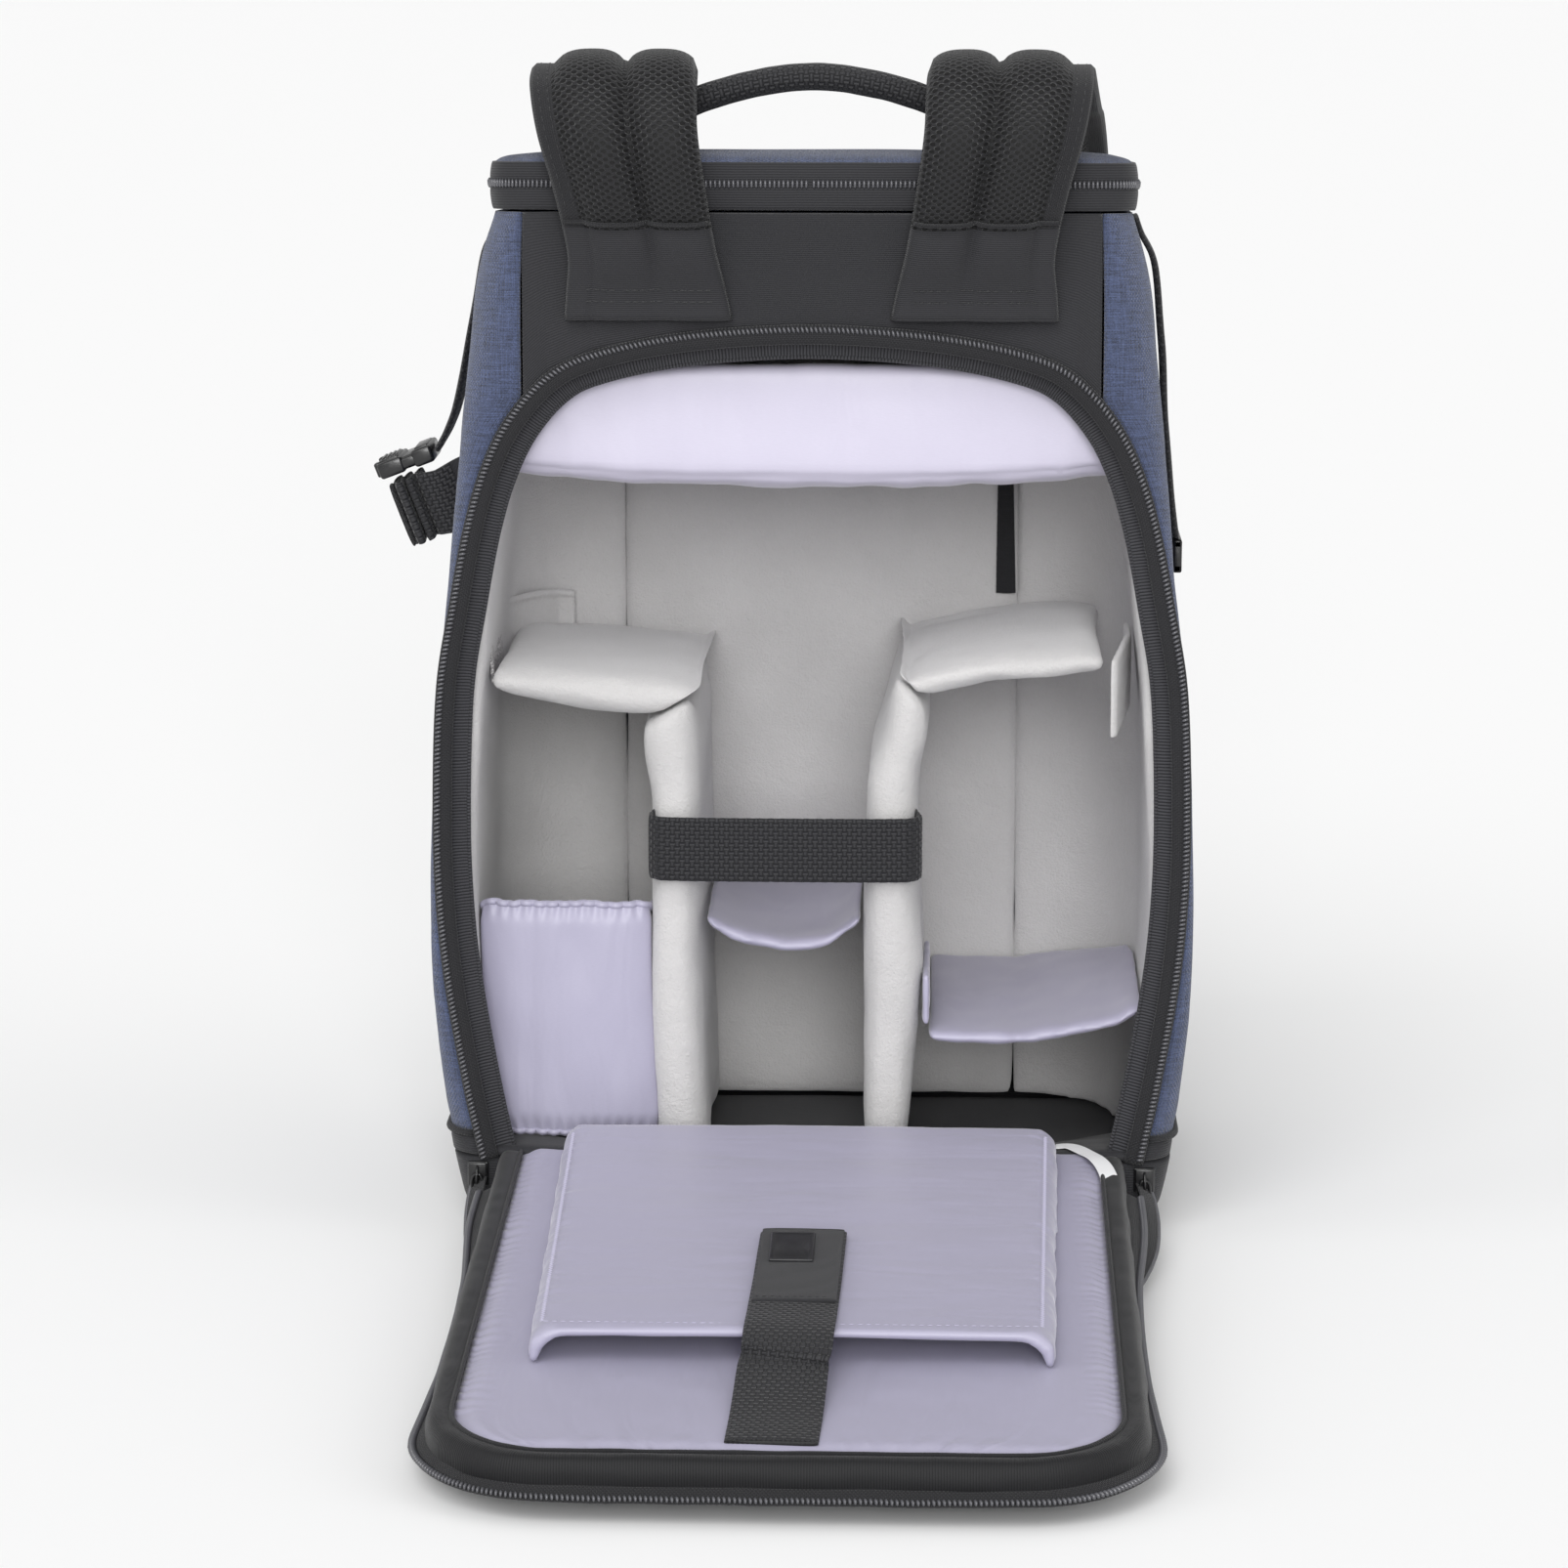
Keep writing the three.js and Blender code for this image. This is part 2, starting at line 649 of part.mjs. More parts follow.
function buildDividers() {
  piece('divider_left', uprightDivider(DIVIDER_LEFT), grey_lining);
  piece('divider_right', uprightDivider(DIVIDER_RIGHT), grey_lining);
  piece('shelf_left', fitted(shelf(SHELF_LEFT)), grey_lining);
  piece('shelf_right', fitted(shelf(SHELF_RIGHT)), grey_lining);
  piece('shelf_center', shelf(SHELF_CENTER, divider_rear + 8), lilac);
  piece('shelf_low', fitted(shelf(SHELF_LOW, divider_rear + 1)), lilac);

  const tab_low = upTo(1.105) + gap;
  const tab_high = tab_low + 2 * shelf_thickness;
  piece('shelf_left_tab', tab(
    { x: -linerHalf(tab_low) + 2 * gap, z: tab_low },
    { x: -linerHalf(tab_high) + 2 * gap, z: tab_high },
    [divider_rear + 14, 10],
  ), grey_lining);

  const shelf_end = half_body * 0.773 + gap;
  const wall = linerHalf(upTo(1.14)) - 2 * gap - tab_thickness;
  const hang = [
    { y: divider_rear, x: shelf_end }, { y: divider_rear + tab_reach, x: wall }, { y: 0, x: wall },
  ];
  piece('shelf_right_tab', stack(hang.map(({ x, y }) => [
    point3(x, y, upTo(0.97)), point3(x + tab_thickness, y, upTo(0.97)),
    point3(x + tab_thickness, y, upTo(1.14)), point3(x, y, upTo(1.14)),
  ])), grey_lining);

  const low_x = half_body * 0.292;
  piece('shelf_low_tab', tab(
    { x: low_x, z: upTo(0.35) }, { x: low_x, z: upTo(0.46) }, [divider_rear + 4, divider_rear + tab_reach + 2],
  ), lilac);

  piece('upper_divider', fitted(stack(trayRings())), lilac);
  piece('flash_pocket', stack(pocketRings()), lilac);
  piece('cradle_strap', cradle(), webbing);
}

// L-shaped sections across the tray: the lip at the front and the padded floor behind it.
function trayRings() {
  const rows = [...TRAY.slice(1).reverse().map((row) => ({ ...row, side: -1 })),
    ...TRAY.map((row) => ({ ...row, side: 1 }))];
  const front = divider_rear;
  const half_tray = linerHalf(tray_base) - tray_ease;
  return rows.map(({ across, low, lip, side }) => {
    const x = side * across * half_tray;
    const under = tray_base + low * tray_height;
    const top = tray_base + lip * tray_height;
    const deck = under + tray_floor;
    return [
      point3(x, divider_front, under), point3(x, front + 24, under),
      point3(x, front + 8, under + 2), point3(x, front + 1, under + 6),
      point3(x, front, under + 10), point3(x, front, top - 4), point3(x, front + 4, top),
      point3(x, front + tray_lip - 3, top), point3(x, front + tray_lip, top - 3),
      point3(x, front + tray_lip, Math.min(deck, top - 3.5)),
      point3(x, divider_front, Math.min(deck, top - 3.5)),
    ];
  });
}

// The flash pocket: a bulging front cloth with a flange back along each side wall.
function pocketRings() {
  const leftFace = curveOf(DIVIDER_LEFT, 'up', 'from');
  return [0, 0.06, 0.3, 0.68, 0.94, 1].map((share) => {
    const z = pocket_base + share * pocket_height;
    const gather = share === 0 || share === 1 ? 1.5 : 0;
    const left = -linerHalf(z) + gap + gather;
    const right = half_body * leftFace((z - floor_top) / divider_height) - gap - gather / 2;
    const front = divider_rear + 7 + gather;
    const crown = 2.5 - gather;
    const middle = (left + right) / 2;
    const flange = front + 26;
    const t = fabric;
    return [
      point3(left, flange, z), point3(left, front + 4, z), point3(left + 4, front, z),
      point3(middle, front - crown, z), point3(right - 4, front, z), point3(right, front + 4, z),
      point3(right, flange, z), point3(right - t, flange, z), point3(right - t, front + 5, z),
      point3(right - 5, front + t, z), point3(middle, front + t - crown, z),
      point3(left + 5, front + t, z), point3(left + t, front + 5, z), point3(left + t, flange, z),
    ];
  });
}

// The strap round both upright dividers, open at the back.
function cradle() {
  const left = half_body * -0.427 - gap - 0.4;
  const right = half_body * 0.288 + gap;
  const front = divider_rear - gap - 0.4;
  const end = divider_rear + cradle_reach;
  const t = webbing_thickness;
  const bend = 5;
  const shape = new THREE.Shape();
  shape.moveTo(left, end);
  shape.lineTo(left, front + bend);
  shape.lineTo(left + 1.5, front + 1.5);
  shape.lineTo(left + bend, front);
  shape.lineTo(right - bend, front);
  shape.lineTo(right - 1.5, front + 1.5);
  shape.lineTo(right, front + bend);
  shape.lineTo(right, end);
  shape.lineTo(right + t, end);
  shape.lineTo(right + t, front + bend);
  shape.lineTo(right, front);
  shape.lineTo(right - bend, front - t);
  shape.lineTo(left + bend, front - t);
  shape.lineTo(left, front);
  shape.lineTo(left - t, front + bend);
  shape.lineTo(left - t, end);
  const strap = new THREE.ExtrudeGeometry(shape, { depth: cradle_width, bevelEnabled: false });
  strap.translate(0, 0, cradle_height - cradle_width / 2);
  return strap;
}

// The flap's outline in its own plane, hinge at y = 0: right side, end, left side.
function flapLine(steps) {
  const side = half_flap;
  const path = new THREE.CurvePath();
  const at = (x, y) => new THREE.Vector3(x, y, 0);
  const end = -flap_length;
  const bend = flap_round * 0.45;
  path.add(new THREE.LineCurve3(at(side, -0.5), at(side, end + flap_round)));
  path.add(new THREE.CubicBezierCurve3(
    at(side, end + flap_round), at(side, end + bend),
    at(side - bend, end), at(side - flap_round, end),
  ));
  path.add(new THREE.LineCurve3(at(side - flap_round, end), at(0, end)));
  const right = Array.from({ length: steps + 1 }, (_, i) => ({
    at: path.getPointAt(i / steps), tangent: path.getTangentAt(i / steps), share: i / steps,
  }));
  const left = right.slice(0, -1).reverse().map((row) => ({
    at: at(-row.at.x, row.at.y),
    tangent: at(row.tangent.x, -row.tangent.y),
    share: row.share,
  }));
  return [...right, ...left].map((row) => ({
    ...row, outward: point3(-row.tangent.y, row.tangent.x, 0),
  }));
}

// A band along the flap's outline: section points are outward distance and height.
function alongFlap(sectionAt, from = 0, steps = 22) {
  const rows = flapLine(steps).filter((row) => row.share >= from);
  return stack(rows.map((row) => sectionAt(row.share).map(([d, z]) => (
    row.at.clone().addScaledVector(row.outward, d).setZ(z)
  ))));
}

// A flat plate inside the flap's rim; hinge is where its straight edge lies.
function flapPlate(inset, thickness, top, hinge) {
  const edge = flapLine(22).map((row) => row.at.clone().addScaledVector(row.outward, -inset));
  const outline = edge.map((point) => new THREE.Vector2(point.x, Math.min(point.y, hinge)));
  outline[0].y = hinge;
  outline.at(-1).y = hinge;
  const plate = new THREE.ExtrudeGeometry(new THREE.Shape(outline), {
    depth: thickness, bevelEnabled: false,
  });
  plate.translate(0, 0, top - thickness);
  return plate;
}

function buildFlap() {
  const t = flap_thickness;
  const w = flap_rim_width;
  piece('flap_rim', alongFlap(() => [
    [0, -t + 4], [-2.5, -t], [-w, -t], [-w, 0], [-w + 2.5, 1], [-2.5, 0.5], [0, -2.5],
  ]), black_cloth, flap);
  // The tape starts proud at the hinge, tucks under the rim and splays out round the end.
  const proud = curveOf([
    { along: 0, out: 0.9 }, { along: 0.14, out: 0.9 }, { along: 0.3, out: 0.3 },
    { along: 0.5, out: 0.25 }, { along: 0.7, out: 0.8 }, { along: 1, out: 1 },
  ], 'along', 'out');
  piece('flap_zip', alongFlap((share) => {
    const out = gap + flap_tape * proud(share);
    return [
      [gap, -6.5], [out - 0.8, -9.2], [out, -9.8], [out, -11], [out - 1.2, -11.6], [gap, -8.5],
    ];
  }, 0.04), black_cloth, flap);
  const inset = w + gap;
  piece('flap_lining', flapPlate(inset, lining_thickness, 0, flap_tongue), lilac, flap);
  const core = t - lining_thickness - gap;
  piece('flap_panel', flapPlate(inset, core, -lining_thickness - gap, -0.8), black_cloth, flap);
  piece('tablet_pocket', tabletPocket(), lilac, flap);
  buildClosure();
  buildPads();
}

function tabletPocket() {
  const taper = (share) => half_sleeve * (1 - 0.055 * share);
  const ring = (share, inset, low, y) => {
    const half = taper(share) - inset;
    const high = sleeve_height - inset;
    return [
      point3(-half, y, low), point3(-half + 1.5, y, high * 0.7), point3(-half + 7, y, high),
      point3(0, y, high + 1), point3(half - 7, y, high), point3(half - 1.5, y, high * 0.7),
      point3(half, y, low),
    ];
  };
  const start = -3;
  const end = start - sleeve_length;
  const outer = [0, 0.5, 1].map((s) => ring(s, 0, gap, start + (end - start) * s));
  const hollow = [0.03, 0.5, 1.01].map((s) => ring(s, sleeve_wall, -1, start + (end - start) * s));
  return geometryOf(solidOf(stack(outer)).subtract(solidOf(stack(hollow))));
}

function buildClosure() {
  const above = sleeve_height + 1 + gap + webbing_thickness / 2;
  const mouth = -3 - sleeve_length;
  const base = -(flap_length - 16);
  const rows = [
    [-4.3, base, gap + 1.2], [-3.4, base + closure_foot, 2.6], [-2.2, base + closure_climb, 8.5],
    [-1.2, mouth - 14, above - 3.5], [-0.6, mouth - 3, above], [0, mouth + 16, above],
    [0.8, mouth + 50, above],
    [1.5, base + closure_length, above],
  ];
  const points = rows.map((row) => point3(...row));
  const up = rows.map(() => point3(0, 0, 1));
  piece('closure_strap', ribbon(points, up, 14, () => (
    flatSection(closure_width, webbing_thickness)
  )), webbing, flap);
  const badge = new THREE.BoxGeometry(badge_width, badge_length, badge_thickness);
  const top = above + webbing_thickness / 2 + gap + badge_thickness / 2;
  badge.translate(-2, base + closure_length - 6 - badge_length / 2, top);
  piece('strap_badge', badge, plastic, flap);
  const label = [
    [half_sleeve - 1.5, flap_tongue, 1.1], [half_sleeve + 5, 8, 1.9], [half_sleeve + 11.5, -3, 2.6],
    [half_sleeve + 15.5, -14, 2.6], [half_sleeve + 17, -22, 2.2],
  ].map((row) => point3(...row));
  piece('flap_label', ribbon(label, label.map(() => point3(0, 0, 1)), 8, () => (
    flatSection(label_width, label_thickness)
  )), white_label, flap);
}

// Back pads under the flap: flat on the floor, their tops following the flap's underside.
function buildPads() {
  const under = (y) => flap_hinge_height - (rear - gap - y) * Math.tan(flap_tilt)
    - flap_thickness / Math.cos(flap_tilt) - gap;
  const pad = (x0, x1, y0, y1) => stack([
    { share: 0, inset: 3 }, { share: 0.3, inset: 0 }, { share: 0.8, inset: 0 }, { share: 1, inset: 2 },
  ].map(({ share, inset }) => {
    const ring = [];
    const radius = 12 - inset;
    const reach = { x0: x0 + inset, x1: x1 - inset, y0: y0 + inset, y1: y1 - inset };
    arc(ring, reach.x1 - radius, reach.y0 + radius, radius, -Math.PI / 2, 3, 0);
    arc(ring, reach.x1 - radius, reach.y1 - radius, radius, 0, 3, 0);
    arc(ring, reach.x0 + radius, reach.y1 - radius, radius, Math.PI / 2, 3, 0);
    arc(ring, reach.x0 + radius, reach.y0 + radius, radius, Math.PI, 3, 0);
    for (const point of ring) point.z = share * under(point.y);
    return ring;
  }));
  const edge = half_flap - 16;
  const far = rear - flap_length + pad_setback;
  const waist = rear - 0.34 * flap_length;
  piece('back_pad_left', pad(-edge, -14, far, waist - 6), black_mesh);
  piece('back_pad_right', pad(14, edge, far, waist - 6), black_mesh);
  piece('lumbar_pad', pad(-edge, edge, waist + 6, rear - 8), black_mesh);
}

// One shoulder strap; side is -1 for the left and 1 for the right.
function shoulderStrap(side) {
  const centre = (row) => side * (strap_spacing / 2 + strap_width * row.drift);
  const points = STRAP.map((row) => point3(centre(row), body_depth * row.y, body_height * row.up));
  const along = STRAP.map((row, i) => ({ along: i / (STRAP.length - 1), ...row }));
  const wide = curveOf(along, 'along', 'wide');
  const pad = curveOf(along, 'along', 'pad');
  const path = new THREE.CatmullRomCurve3(points, false, 'centripetal');
  const steps = 34;
  const rings = [];
  for (let i = 0; i <= steps; i += 1) {
    const share = i / steps;
    const tangent = path.getTangent(share);
    const out = point3(0, -tangent.z, tangent.y).normalize();
    const place = path.getPoint(share);
    const half = (strap_width * wide(share)) / 2;
    const thick = (strap_padding * pad(share)) / 2;
    const edge = Math.min(binding_thickness / 2, thick);
    const tube = (2 * half - strap_binding) / 2;
    const seam = strap_binding - half;
    const profile = [
      [-half, edge], [seam, edge], [seam + tube * 0.3, thick], [seam + tube * 0.75, thick],
      [seam + tube, thick * 0.55], [seam + tube * 1.25, thick], [seam + tube * 1.7, thick],
      [half, thick * 0.35],
    ];
    const section = [...profile, ...profile.map(([u, v]) => [u, -v]).reverse()];
    rings.push(section.map(([u, v]) => (
      place.clone().add(point3(-side * u, 0, 0)).addScaledVector(out, v)
    )));
  }
  return { solid: stack(rings), end: points.at(-1) };
}

function buildShoulderStraps() {
  for (const side of [-1, 1]) {
    const word = side < 0 ? 'left' : 'right';
    const { solid, end } = shoulderStrap(side);
    piece(`shoulder_strap_${word}`, solid, black_mesh);

    const lock_top = end.z - 0.6;
    const lock = solidOf(new THREE.BoxGeometry(webbing_width + 8, lock_thickness, lock_length));
    const slot = solidOf(
      new THREE.BoxGeometry(webbing_width + 1, lock_thickness + 2, lock_slot_height),
    );
    const slots = slot
      .translate([0, 0, lock_slot_offset])
      .add(slot.translate([0, 0, -lock_slot_offset]));
    const frame = lock.subtract(slots).translate([end.x, end.y, lock_top - lock_length / 2]);
    piece(`ladder_lock_${word}`, geometryOf(frame), plastic);

    const bottom = lock_top - lock_length - gap;
    const anchor_z = base_height + 8;
    const reach = front_round + gap + webbing_thickness / 2 + 1;
    const onCorner = (angle, z, off = 0) => point3(
      side * (bodyAt(z).half - front_round + (reach + off) * Math.cos(angle)),
      bodyAt(z).front - front_round + (reach + off) * Math.sin(angle), z,
    );
    const facing = (angle) => point3(side * Math.cos(angle), Math.sin(angle), 0);
    const points = [
      point3(end.x, end.y, bottom), point3(end.x, end.y, bottom - 10),
      onCorner(1.5, bottom - webbing_hang, 4), onCorner(1.05, anchor_z + webbing_tuck, 2), onCorner(0.6, anchor_z),
    ];
    const normals = [facing(1.57), facing(1.57), facing(1.5), facing(1.05), facing(0.6)];
    piece(`lower_webbing_${word}`, ribbon(points, normals, 14, () => (
      flatSection(webbing_width, webbing_thickness)
    )), webbing);
  }
}

function buildHandle() {
  const y = rear + 29;
  const radius = handle_diameter / 2;
  const half = handle_span / 2;
  const foot = lidTop(half, y) + gap + radius;
  const right = [
    [half + 8, foot], [half - 2, foot + 0.6], [half * 0.82, foot + handle_rise * 0.26],
    [half * 0.66, foot + handle_rise * 0.56], [half * 0.34, foot + handle_rise * 0.87],
  ];
  const points = [...right.map(([x, z]) => point3(-x, y, z)), point3(0, y, foot + handle_rise),
    ...right.reverse().map(([x, z]) => point3(x, y, z))];
  const section = new THREE.Shape();
  for (let i = 0; i < 10; i += 1) {
    const angle = (i / 10) * Math.PI * 2;
    const move = i === 0 ? 'moveTo' : 'lineTo';
    section[move](radius * Math.cos(angle), radius * Math.sin(angle));
  }
  piece('haul_handle', new THREE.ExtrudeGeometry(section, {
    extrudePath: new THREE.CatmullRomCurve3(points, false, 'centripetal'), steps: 26,
  }), webbing);
}

function buildSideStraps() {
  const y = -side_strap_setback;
  const clear = gap + 0.2 + side_strap_thickness / 2;
  const face = (share, off) => bodyAt(body_height * share).half + clear + off;
  const sideStrap = (side, rows) => {
    const points = rows.map(([share, off]) => point3(side * face(share, off), y, body_height * share));
    const normals = rows.map(() => point3(side, 0, 0));
    return ribbon(points, normals, 12, () => flatSection(webbing_width, side_strap_thickness));
  };
  piece('side_strap_left', sideStrap(-1, [
    [0.978, -1.6], [0.962, -1.1], [0.94, 1.2], [0.87, 3], [0.8, 5.5], [0.765, 8],
  ]), webbing);
  piece('side_strap_right', sideStrap(1, [
    [0.978, -1.6], [0.962, -1.1], [0.93, 1.8], [0.86, 1.6], [0.79, 0.4], [0.72, 0.6], [0.665, 1.4],
  ]), webbing);

  const low = body_height * 0.665 - 0.6;
  const lock = new THREE.BoxGeometry(3.4, webbing_width + 3, 13);
  lock.translate(face(0.665, 1.4) + 0.4, y, low - 6.5);
  piece('side_lock_right', lock, plastic);

  // Buckle, tab and folded tail at the lower end of the left side strap.
  const seat = new THREE.Group();
  const root = body_height * 0.7;
  seat.position.set(-bodyAt(root).half - gap - 1.8, y, root);
  seat.rotation.y = THREE.MathUtils.degToRad(-21);
  group.add(seat);
  const block = (name, size, at, material) => {
    const box = new THREE.BoxGeometry(...size);
    box.translate(...at);
    piece(name, box, material, seat);
  };
  block('strap_anchor_left', [9.5, 9, 28], [-6.4, 0, 6.5], black_cloth);
  block('strap_tail_left', [25, 9, 21], [-24, 0, 5], webbing);
  block('side_buckle_left', [24, webbing_width + 2, 7.5], [-23.6, 0, 19.6], plastic);
}

buildBody();
buildLid();
buildOpening();
buildLining();
buildDividers();
buildFlap();
buildShoulderStraps();
buildHandle();
buildSideStraps();

export default group;
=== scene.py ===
"""A camera backpack dressed over its packed solids: cloth, padding, webbing, zips and a studio."""

import math

import bmesh
import bpy
from bpy.props import FloatProperty, FloatVectorProperty, IntProperty, PointerProperty
from mathutils import Matrix, Vector, noise


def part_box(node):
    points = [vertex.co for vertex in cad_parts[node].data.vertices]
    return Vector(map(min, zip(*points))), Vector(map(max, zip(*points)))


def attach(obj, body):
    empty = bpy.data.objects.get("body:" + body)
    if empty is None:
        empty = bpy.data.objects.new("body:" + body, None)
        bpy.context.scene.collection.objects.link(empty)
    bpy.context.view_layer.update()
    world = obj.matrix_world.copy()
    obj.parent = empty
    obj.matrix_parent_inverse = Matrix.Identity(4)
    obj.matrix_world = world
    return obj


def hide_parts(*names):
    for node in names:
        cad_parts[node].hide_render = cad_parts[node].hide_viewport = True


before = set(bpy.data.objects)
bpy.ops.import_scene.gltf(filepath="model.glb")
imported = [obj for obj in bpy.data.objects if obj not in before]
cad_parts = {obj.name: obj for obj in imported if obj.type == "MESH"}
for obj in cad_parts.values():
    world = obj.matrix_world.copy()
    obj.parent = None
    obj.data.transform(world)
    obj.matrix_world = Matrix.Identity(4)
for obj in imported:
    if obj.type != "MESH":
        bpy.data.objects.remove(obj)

bl_info = {
    "name": "Camera backpack dressing",
    "version": (1, 0, 0),
    "blender": (4, 5, 0),
    "location": "View3D > Sidebar > Backpack",
    "description": "Dresses a camera backpack's solids in cloth, padding, webbing and zips",
    "category": "Object",
}

MM = 0.001
REAR = -95.0
WORD = {-1: "left", 1: "right"}
UP = Vector((0, 0, 1))
ROOF = 397.6
FILL_FRAMES = 20

# Body sections from the floor up: height, half width, front face, rear corner radius.
BODY = [
    (0, 133.9, 89.3, 16.1),
    (31.8, 140.6, 92.2, 14.1),
    (81.2, 146.0, 95, 7.9),
    (122.2, 147.5, 95, 5.9),
    (179.9, 146.0, 93.1, 5.9),
    (218.1, 143.1, 91.2, 5.9),
    (257.1, 138.8, 88.4, 7.0),
    (312.0, 134.1, 83.6, 12.1),
    (343.1, 131.0, 79.8, 18.0),
    (372.9, 127.4, 74.1, 20.9),
    (398, 121.0, 69.3, 22),
]
# Right half of the zip line round the rear opening: height above the floor, distance across.
ZIP_LINE = [
    (30, 128.0), (59.9, 134.1), (103.1, 141.0), (141.2, 144), (180.2, 144), (218.2, 142.0),
    (248.1, 136.9), (278, 131.0), (301.1, 124.0), (319.9, 114.5), (336.2, 99.9),
    (344.9, 82.1), (352.1, 46.9), (355, 0),
]
FRONT_ROUND = 38.0
FRONT_CROWN = 5.0
BOTTOM_ROUND = 14.0
BODY_HEIGHT = 398.0
BASE_HEIGHT = 40.0
LID_FALL = 13.0
BODY_DEPTH = 190.0
YOKE_HALF = 109.0
FRONT_HALF = 98.0
HINGE_Z = 32.6
FLAP_TILT = 0.0440
FLAP_HALF = 121.5
FLAP_LENGTH = 309.0
FLAP_ROUND = 45.0


def curve_of(rows, column):
    """Smooth value of one column against the first, through every row."""

    def value(x):
        last = len(rows) - 2
        i = 0
        while i < last and x > rows[i + 1][0]:
            i += 1
        x0, x1 = rows[i][0], rows[i + 1][0]
        y0, y1 = rows[i][column], rows[i + 1][column]
        before = rows[i - 1] if i > 0 else None
        after = rows[i + 2] if i < last else None
        chord = (y1 - y0) / (x1 - x0)
        m0 = (y1 - before[column]) / (x1 - before[0]) if before else chord
        m1 = (after[column] - y0) / (after[0] - x0) if after else chord
        t = min(max((x - x0) / (x1 - x0), 0), 1)
        span = x1 - x0
        return (
            (2 * t**3 - 3 * t**2 + 1) * y0
            + (t**3 - 2 * t**2 + t) * span * m0
            + (3 * t**2 - 2 * t**3) * y1
            + (t**3 - t**2) * span * m1
        )

    return value


half_at = curve_of(BODY, 1)
front_at = curve_of(BODY, 2)
corner_at = curve_of(BODY, 3)


def clamp(value, low=0.0, high=1.0):
    return min(max(value, low), high)


def mix(a, b, share):
    return a + (b - a) * share


def ease(value, low, high):
    t = clamp((value - low) / (high - low))
    return t * t * (3 - 2 * t)


def lumps(x, y, z=0.0, size=30.0):
    """Soft unevenness between -1 and 1 whose humps are about size apart."""
    return noise.noise(Vector((x / size, y / size, z / size)))


def fall_at(y, z):
    ramp = clamp((z / BODY_HEIGHT - 0.76) / 0.24)
    return LID_FALL * (y - REAR) * ramp / BODY_DEPTH


def smooth_path(points, count):
    """Evenly spaced points on a smooth line through the given points."""
    points = [Vector(p) for p in points]
    fine = []
    for i in range(len(points) - 1):
        p1, p2 = points[i], points[i + 1]
        p0 = points[i - 1] if i else p1 * 2 - p2
        p3 = points[i + 2] if i + 2 < len(points) else p2 * 2 - p1
        for k in range(12):
            t = k / 12
            fine.append(
                0.5 * (2 * p1 + (p2 - p0) * t + (2 * p0 - 5 * p1 + 4 * p2 - p3) * t * t
                       + (3 * p1 - p0 - 3 * p2 + p3) * t * t * t)
            )
    fine.append(points[-1])
    return respaced(fine, count)


def lengths(points):
    run = [0.0]
    for a, b in zip(points, points[1:]):
        run.append(run[-1] + (b - a).length)
    return run


def respaced(points, count):
    run = lengths(points)
    found = []
    i = 0
    for k in range(count):
        want = run[-1] * k / (count - 1)
        while i < len(points) - 2 and run[i + 1] < want:
            i += 1
        step = run[i + 1] - run[i]
        found.append(points[i].lerp(points[i + 1], (want - run[i]) / step if step else 0))
    return found


def walk(points, run, distance):
    """The point at a distance along a line of points."""
    i = 0
    while i < len(points) - 2 and run[i + 1] < distance:
        i += 1
    step = run[i + 1] - run[i]
    return points[i].lerp(points[i + 1], clamp((distance - run[i]) / step if step else 0))


def quarter(cx, cy, radius, start, steps=8):
    return [
        Vector((cx + radius * math.cos(start + k / steps * math.pi / 2),
                cy + radius * math.sin(start + k / steps * math.pi / 2), 0))
        for k in range(steps + 1)
    ]


def body_path(z):
    """Right half of the body's outline at one height, from the rear's middle to the front's."""
    low = max(BOTTOM_ROUND - z, 0)
    by = BOTTOM_ROUND - math.sqrt(BOTTOM_ROUND**2 - low**2)
    half, front = half_at(z) - by, front_at(z) - by
    back_round = max(corner_at(z) - by, 1.5)
    front_round = max(FRONT_ROUND - by, 4)
    rear = REAR + by
    path = [Vector((0, rear, 0))]
    path += quarter(half - back_round, rear + back_round, back_round, -math.pi / 2)
    path += quarter(half - front_round, front - front_round, front_round, 0)
    path += [Vector((share * (half - front_round), front + FRONT_CROWN * (1 - share**2), 0))
             for share in (0.75, 0.5, 0.25, 0)]
    return path


def on_body(z, side, distance, lift=0.0, outline_z=None):
    """A point of the shell: distance along the outline from the rear's middle, side -1 or 1."""
    path = body_path(z if outline_z is None else outline_z)
    run = lengths(path)
    at = walk(path, run, distance)
    ahead = walk(path, run, min(distance + 1, run[-1])) - walk(path, run, max(distance - 1, 0))
    place = at + Vector((ahead.y, -ahead.x, 0)).normalized() * lift
    return Vector((side * place.x, place.y, z - fall_at(place.y, z)))


def body_length(z):
    return lengths(body_path(z))[-1]


ZIP_POINTS = smooth_path(
    [(-x, 0, z) for z, x in ZIP_LINE[:-1]] + [(x, 0, z) for z, x in reversed(ZIP_LINE)], 241
)
ZIP_RUN = lengths(ZIP_POINTS)


def zip_across(z):
    """Half width of the rear opening at one height."""
    if z <= ZIP_LINE[0][0]:
        return ZIP_LINE[0][1]
    for a, b in zip(ZIP_POINTS[120:], ZIP_POINTS[121:]):
        if b.z <= z <= a.z:
            return mix(b.x, a.x, (z - b.z) / (a.z - b.z))
    return 0.0


